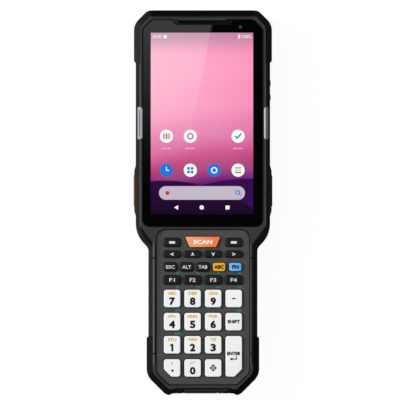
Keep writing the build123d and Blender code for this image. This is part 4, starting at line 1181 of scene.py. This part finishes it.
RIB_START = 8.0                     # from the battery's upper end
RIB_PITCH = 1.6
RIB_PROUD = 0.3 * MM                # how far the ribs stand out
RIB_DEPTH = 0.35 * MM               # their whole depth, partly in the shell


def make_earpiece_mesh():
    """Fine perforated strip in the earpiece slit."""
    place = Matrix.Translation((0, glass_high.y - SLIT_FROM_END, rim_height - MESH_DROP))
    builder = bmesh.new()
    bmesh.ops.create_grid(
        builder, x_segments=MESH_HOLES[0], y_segments=MESH_HOLES[1], size=0.5,
        matrix=place @ Matrix.Diagonal((*MESH_SIZE, 1.0, 1.0)),
    )
    holes = bmesh.ops.inset_individual(builder, faces=builder.faces[:], thickness=MESH_BAR)
    rims = set(holes["faces"])
    inner = [face for face in builder.faces if face not in rims]
    bmesh.ops.delete(builder, geom=inner, context="FACES_ONLY")
    bmesh.ops.solidify(builder, geom=builder.faces[:], thickness=MESH_THICKNESS)
    steel = metal_finish("earpiece_steel", srgb(42, 43, 45), 0.4, 1.0)
    finish_piece("earpiece_mesh", builder, "terminal", [steel])


def make_glass_bead():
    """Black bead in the gap round the cover glass, along the outline of the glass's top: a dark
    piece that stands for the shade in that gap.
    """
    builder = bmesh.new()
    builder.from_mesh(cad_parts["display_glass"].data)
    bmesh.ops.remove_doubles(builder, verts=builder.verts, dist=0.001 * MM)
    lowered = [
        face for face in builder.faces
        if min(vertex.co.z for vertex in face.verts) < glass_top - 0.001 * MM
    ]
    bmesh.ops.delete(builder, geom=lowered, context="FACES")
    outline = [edge for edge in builder.edges if edge.is_boundary]
    flat = builder.faces[:]
    made = bmesh.ops.extrude_edge_only(builder, edges=outline)
    raise_copy(builder, made, rim_height - glass_top + 0.01 * MM)
    bmesh.ops.delete(builder, geom=flat, context="FACES")
    bmesh.ops.recalc_face_normals(builder, faces=builder.faces)
    bmesh.ops.solidify(builder, geom=builder.faces[:], thickness=-BEAD_WIDTH)
    bmesh.ops.translate(builder, verts=builder.verts[:], vec=(BEAD_SHIFT, 0, 0))
    finish_piece("display_glass_gap_shade", builder, "terminal", [bead_finish()])


def make_seam_webs():
    """Dark rubber webs deep in the upright seams between the corner bumpers and the case: dark
    pieces that stand for the shade in those seams.
    """
    builder = bmesh.new()
    for side in (-1, 1):
        for x, start, end, width in SEAM_WEBS:
            add_bar(builder, side * x * MM, (start + end) / 2 * MM, WEB_BOTTOM,
                    (width, end - start), 0.02, depth=WEB_HEIGHT)
    web = moulding("web_rubber", grey(20), roughness=0.6)
    finish_piece("bumper_seam_shade_webs", builder, "terminal", [web])


def make_battery_details():
    """Bare label field and thumb ribs on the battery's outer face."""
    outer = battery_low.z
    x, y = middle("battery_pack")
    builder = bmesh.new()
    add_bar(builder, x, y - LABEL_DROP, outer - PRINT_DEPTH, LABEL_SIZE, 2.5)
    label = moulding("battery_label", srgb(74, 75, 78), roughness=0.45, grain=0.15, depth=0.002)
    finish_piece("battery_label", builder, "battery", [label])
    ribs = bmesh.new()
    for rib in range(RIB_COUNT):
        rib_y = battery_high.y - (RIB_START + RIB_PITCH * rib) * MM
        add_bar(ribs, x, rib_y, outer - RIB_PROUD, RIB_SIZE, 0.3, depth=RIB_DEPTH)
    rib_plastic = moulding("battery_ribs", grey(28, 2))
    finish_piece("battery_thumb_ribs", ribs, "battery", [rib_plastic])


# ---------------------------------------------------------------- stage
STUDIO_LEVEL = 0.4                  # light that comes evenly from all sides
FLOOR_SIZE = 8.0
FLOOR_OWN = 0.92                    # the part of the floor's white that no shadow darkens
FLOOR_MATT = 0.14                   # and the part that shadows do
CARD_SPAN = 5.0
CARD_TOP = 1.2
CARD_BOTTOM = -1.5
CARD_LEVEL = 0.02
CARD_REACH = (600.0, 100.0)         # where the soft box fades out, from the middle
GLARE_LEVEL = 1.05
GLARE_FULL = 116.0                  # Y at which the soft box is at its brightest
GLARE_EDGE = (-15.6, -16.2)         # X of the glare's slanted edge at the middle


def keep_light_off(thing):
    """Keep a stage piece from adding to the light on the object or holding any of it back."""
    thing.visible_diffuse = False
    thing.visible_transmission = False
    thing.visible_shadow = False


def start_stage_material(name):
    """A material without its usual shader, as a sheet, and the socket its own shader goes to."""
    material = bpy.data.materials.new(name)
    material.use_nodes = True
    nodes = material.node_tree.nodes
    nodes.remove(nodes["Principled BSDF"])
    return material, Sheet(material.node_tree), nodes["Material Output"].inputs["Surface"]


def make_world():
    """Even white surroundings: full white where seen or mirrored, lower as a light."""
    world = bpy.data.worlds.new("studio")
    scene.world = world
    world.use_nodes = True
    sheet = Sheet(world.node_tree)
    rays = sheet.node("LightPath").outputs
    seen = sheet.larger(rays["Is Camera Ray"], rays["Is Glossy Ray"])
    seen_through = sheet.larger(seen, rays["Is Transmission Ray"])
    background = sheet.tree.nodes["Background"].inputs
    sheet.feed(background["Color"], PURE_WHITE)
    strength = sheet.linear(seen_through, 1.0 - STUDIO_LEVEL, STUDIO_LEVEL)
    sheet.feed(background["Strength"], strength)


def make_floor():
    """White floor that shows the object's shadow, and is clear from below."""
    material, sheet, surface = start_stage_material("floor_white")
    matt = sheet.node("BsdfDiffuse")
    sheet.feed(matt.inputs["Color"], (FLOOR_MATT, FLOOR_MATT, FLOOR_MATT, 1.0))
    own = sheet.node("Emission")
    sheet.feed(own.inputs["Strength"], FLOOR_OWN)
    both = sheet.node("AddShader")
    sheet.feed(both.inputs[0], matt.outputs[0])
    sheet.feed(both.inputs[1], own.outputs[0])
    side = sheet.node("MixShader")
    sheet.feed(side.inputs[0], sheet.node("NewGeometry").outputs["Backfacing"])
    sheet.feed(side.inputs[1], both.outputs[0])
    sheet.feed(side.inputs[2], sheet.node("BsdfTransparent").outputs[0])
    sheet.feed(surface, side.outputs[0])
    builder = bmesh.new()
    bmesh.ops.create_grid(
        builder, x_segments=1, y_segments=1, size=FLOOR_SIZE / 2,
        matrix=Matrix.Translation((0, 0, cad_box[0].z)),
    )
    floor = place_mesh("floor", builder, [material])
    floor.visible_glossy = False
    keep_light_off(floor)


def make_cards():
    """Dark studio cards that only mirrors show: a ceiling with a soft box that ends in a slanted
    edge, and three walls. The side that the key light comes from is left open."""
    material, sheet, surface = start_stage_material("card_black")
    x, y, z = sheet.axes(sheet.node("TexCoord").outputs["Object"])
    slant = sheet.linear(y, -GLARE_SLANT, x)
    lit_side = sheet.step(slant, *GLARE_EDGE)
    climb = sheet.maths("MINIMUM", sheet.larger(sheet.times(y, 1 / GLARE_FULL), 0.0), 1.0)
    overhead = sheet.above(z, (CARD_TOP - 0.01) / MM)
    reach = sheet.step(sheet.unsigned(x), *CARD_REACH)
    glare = sheet.times(lit_side, climb, climb, GLARE_LEVEL, overhead, reach)
    glow = sheet.node("Emission")
    sheet.feed(glow.inputs["Strength"], sheet.maths("ADD", glare, CARD_LEVEL))
    sheet.feed(surface, glow.outputs[0])
    builder = bmesh.new()
    bmesh.ops.create_cube(
        builder, size=1.0,
        matrix=Matrix.Translation((0, 0, (CARD_TOP + CARD_BOTTOM) / 2))
        @ Matrix.Diagonal((CARD_SPAN, CARD_SPAN, CARD_TOP - CARD_BOTTOM, 1.0)),
    )
    open_sides = [
        face for face in builder.faces
        if face.calc_center_median().x < -0.1 or face.calc_center_median().z < CARD_BOTTOM + 0.1
    ]
    bmesh.ops.delete(builder, geom=open_sides, context="FACES_ONLY")
    bmesh.ops.reverse_faces(builder, faces=builder.faces)
    cards = place_mesh("studio_cards", builder, [material])
    cards.visible_camera = False
    keep_light_off(cards)


make_camera()
make_world()
make_floor()
make_cards()
for lamp in LAMPS:
    make_lamp(*lamp)

dress_nodes()
make_legends()
make_panel_words()
make_icons()
make_search_field()
make_status_row()
make_navigation_row()
make_camera_window()
make_earpiece_mesh()
make_glass_bead()
make_seam_webs()
make_battery_details()
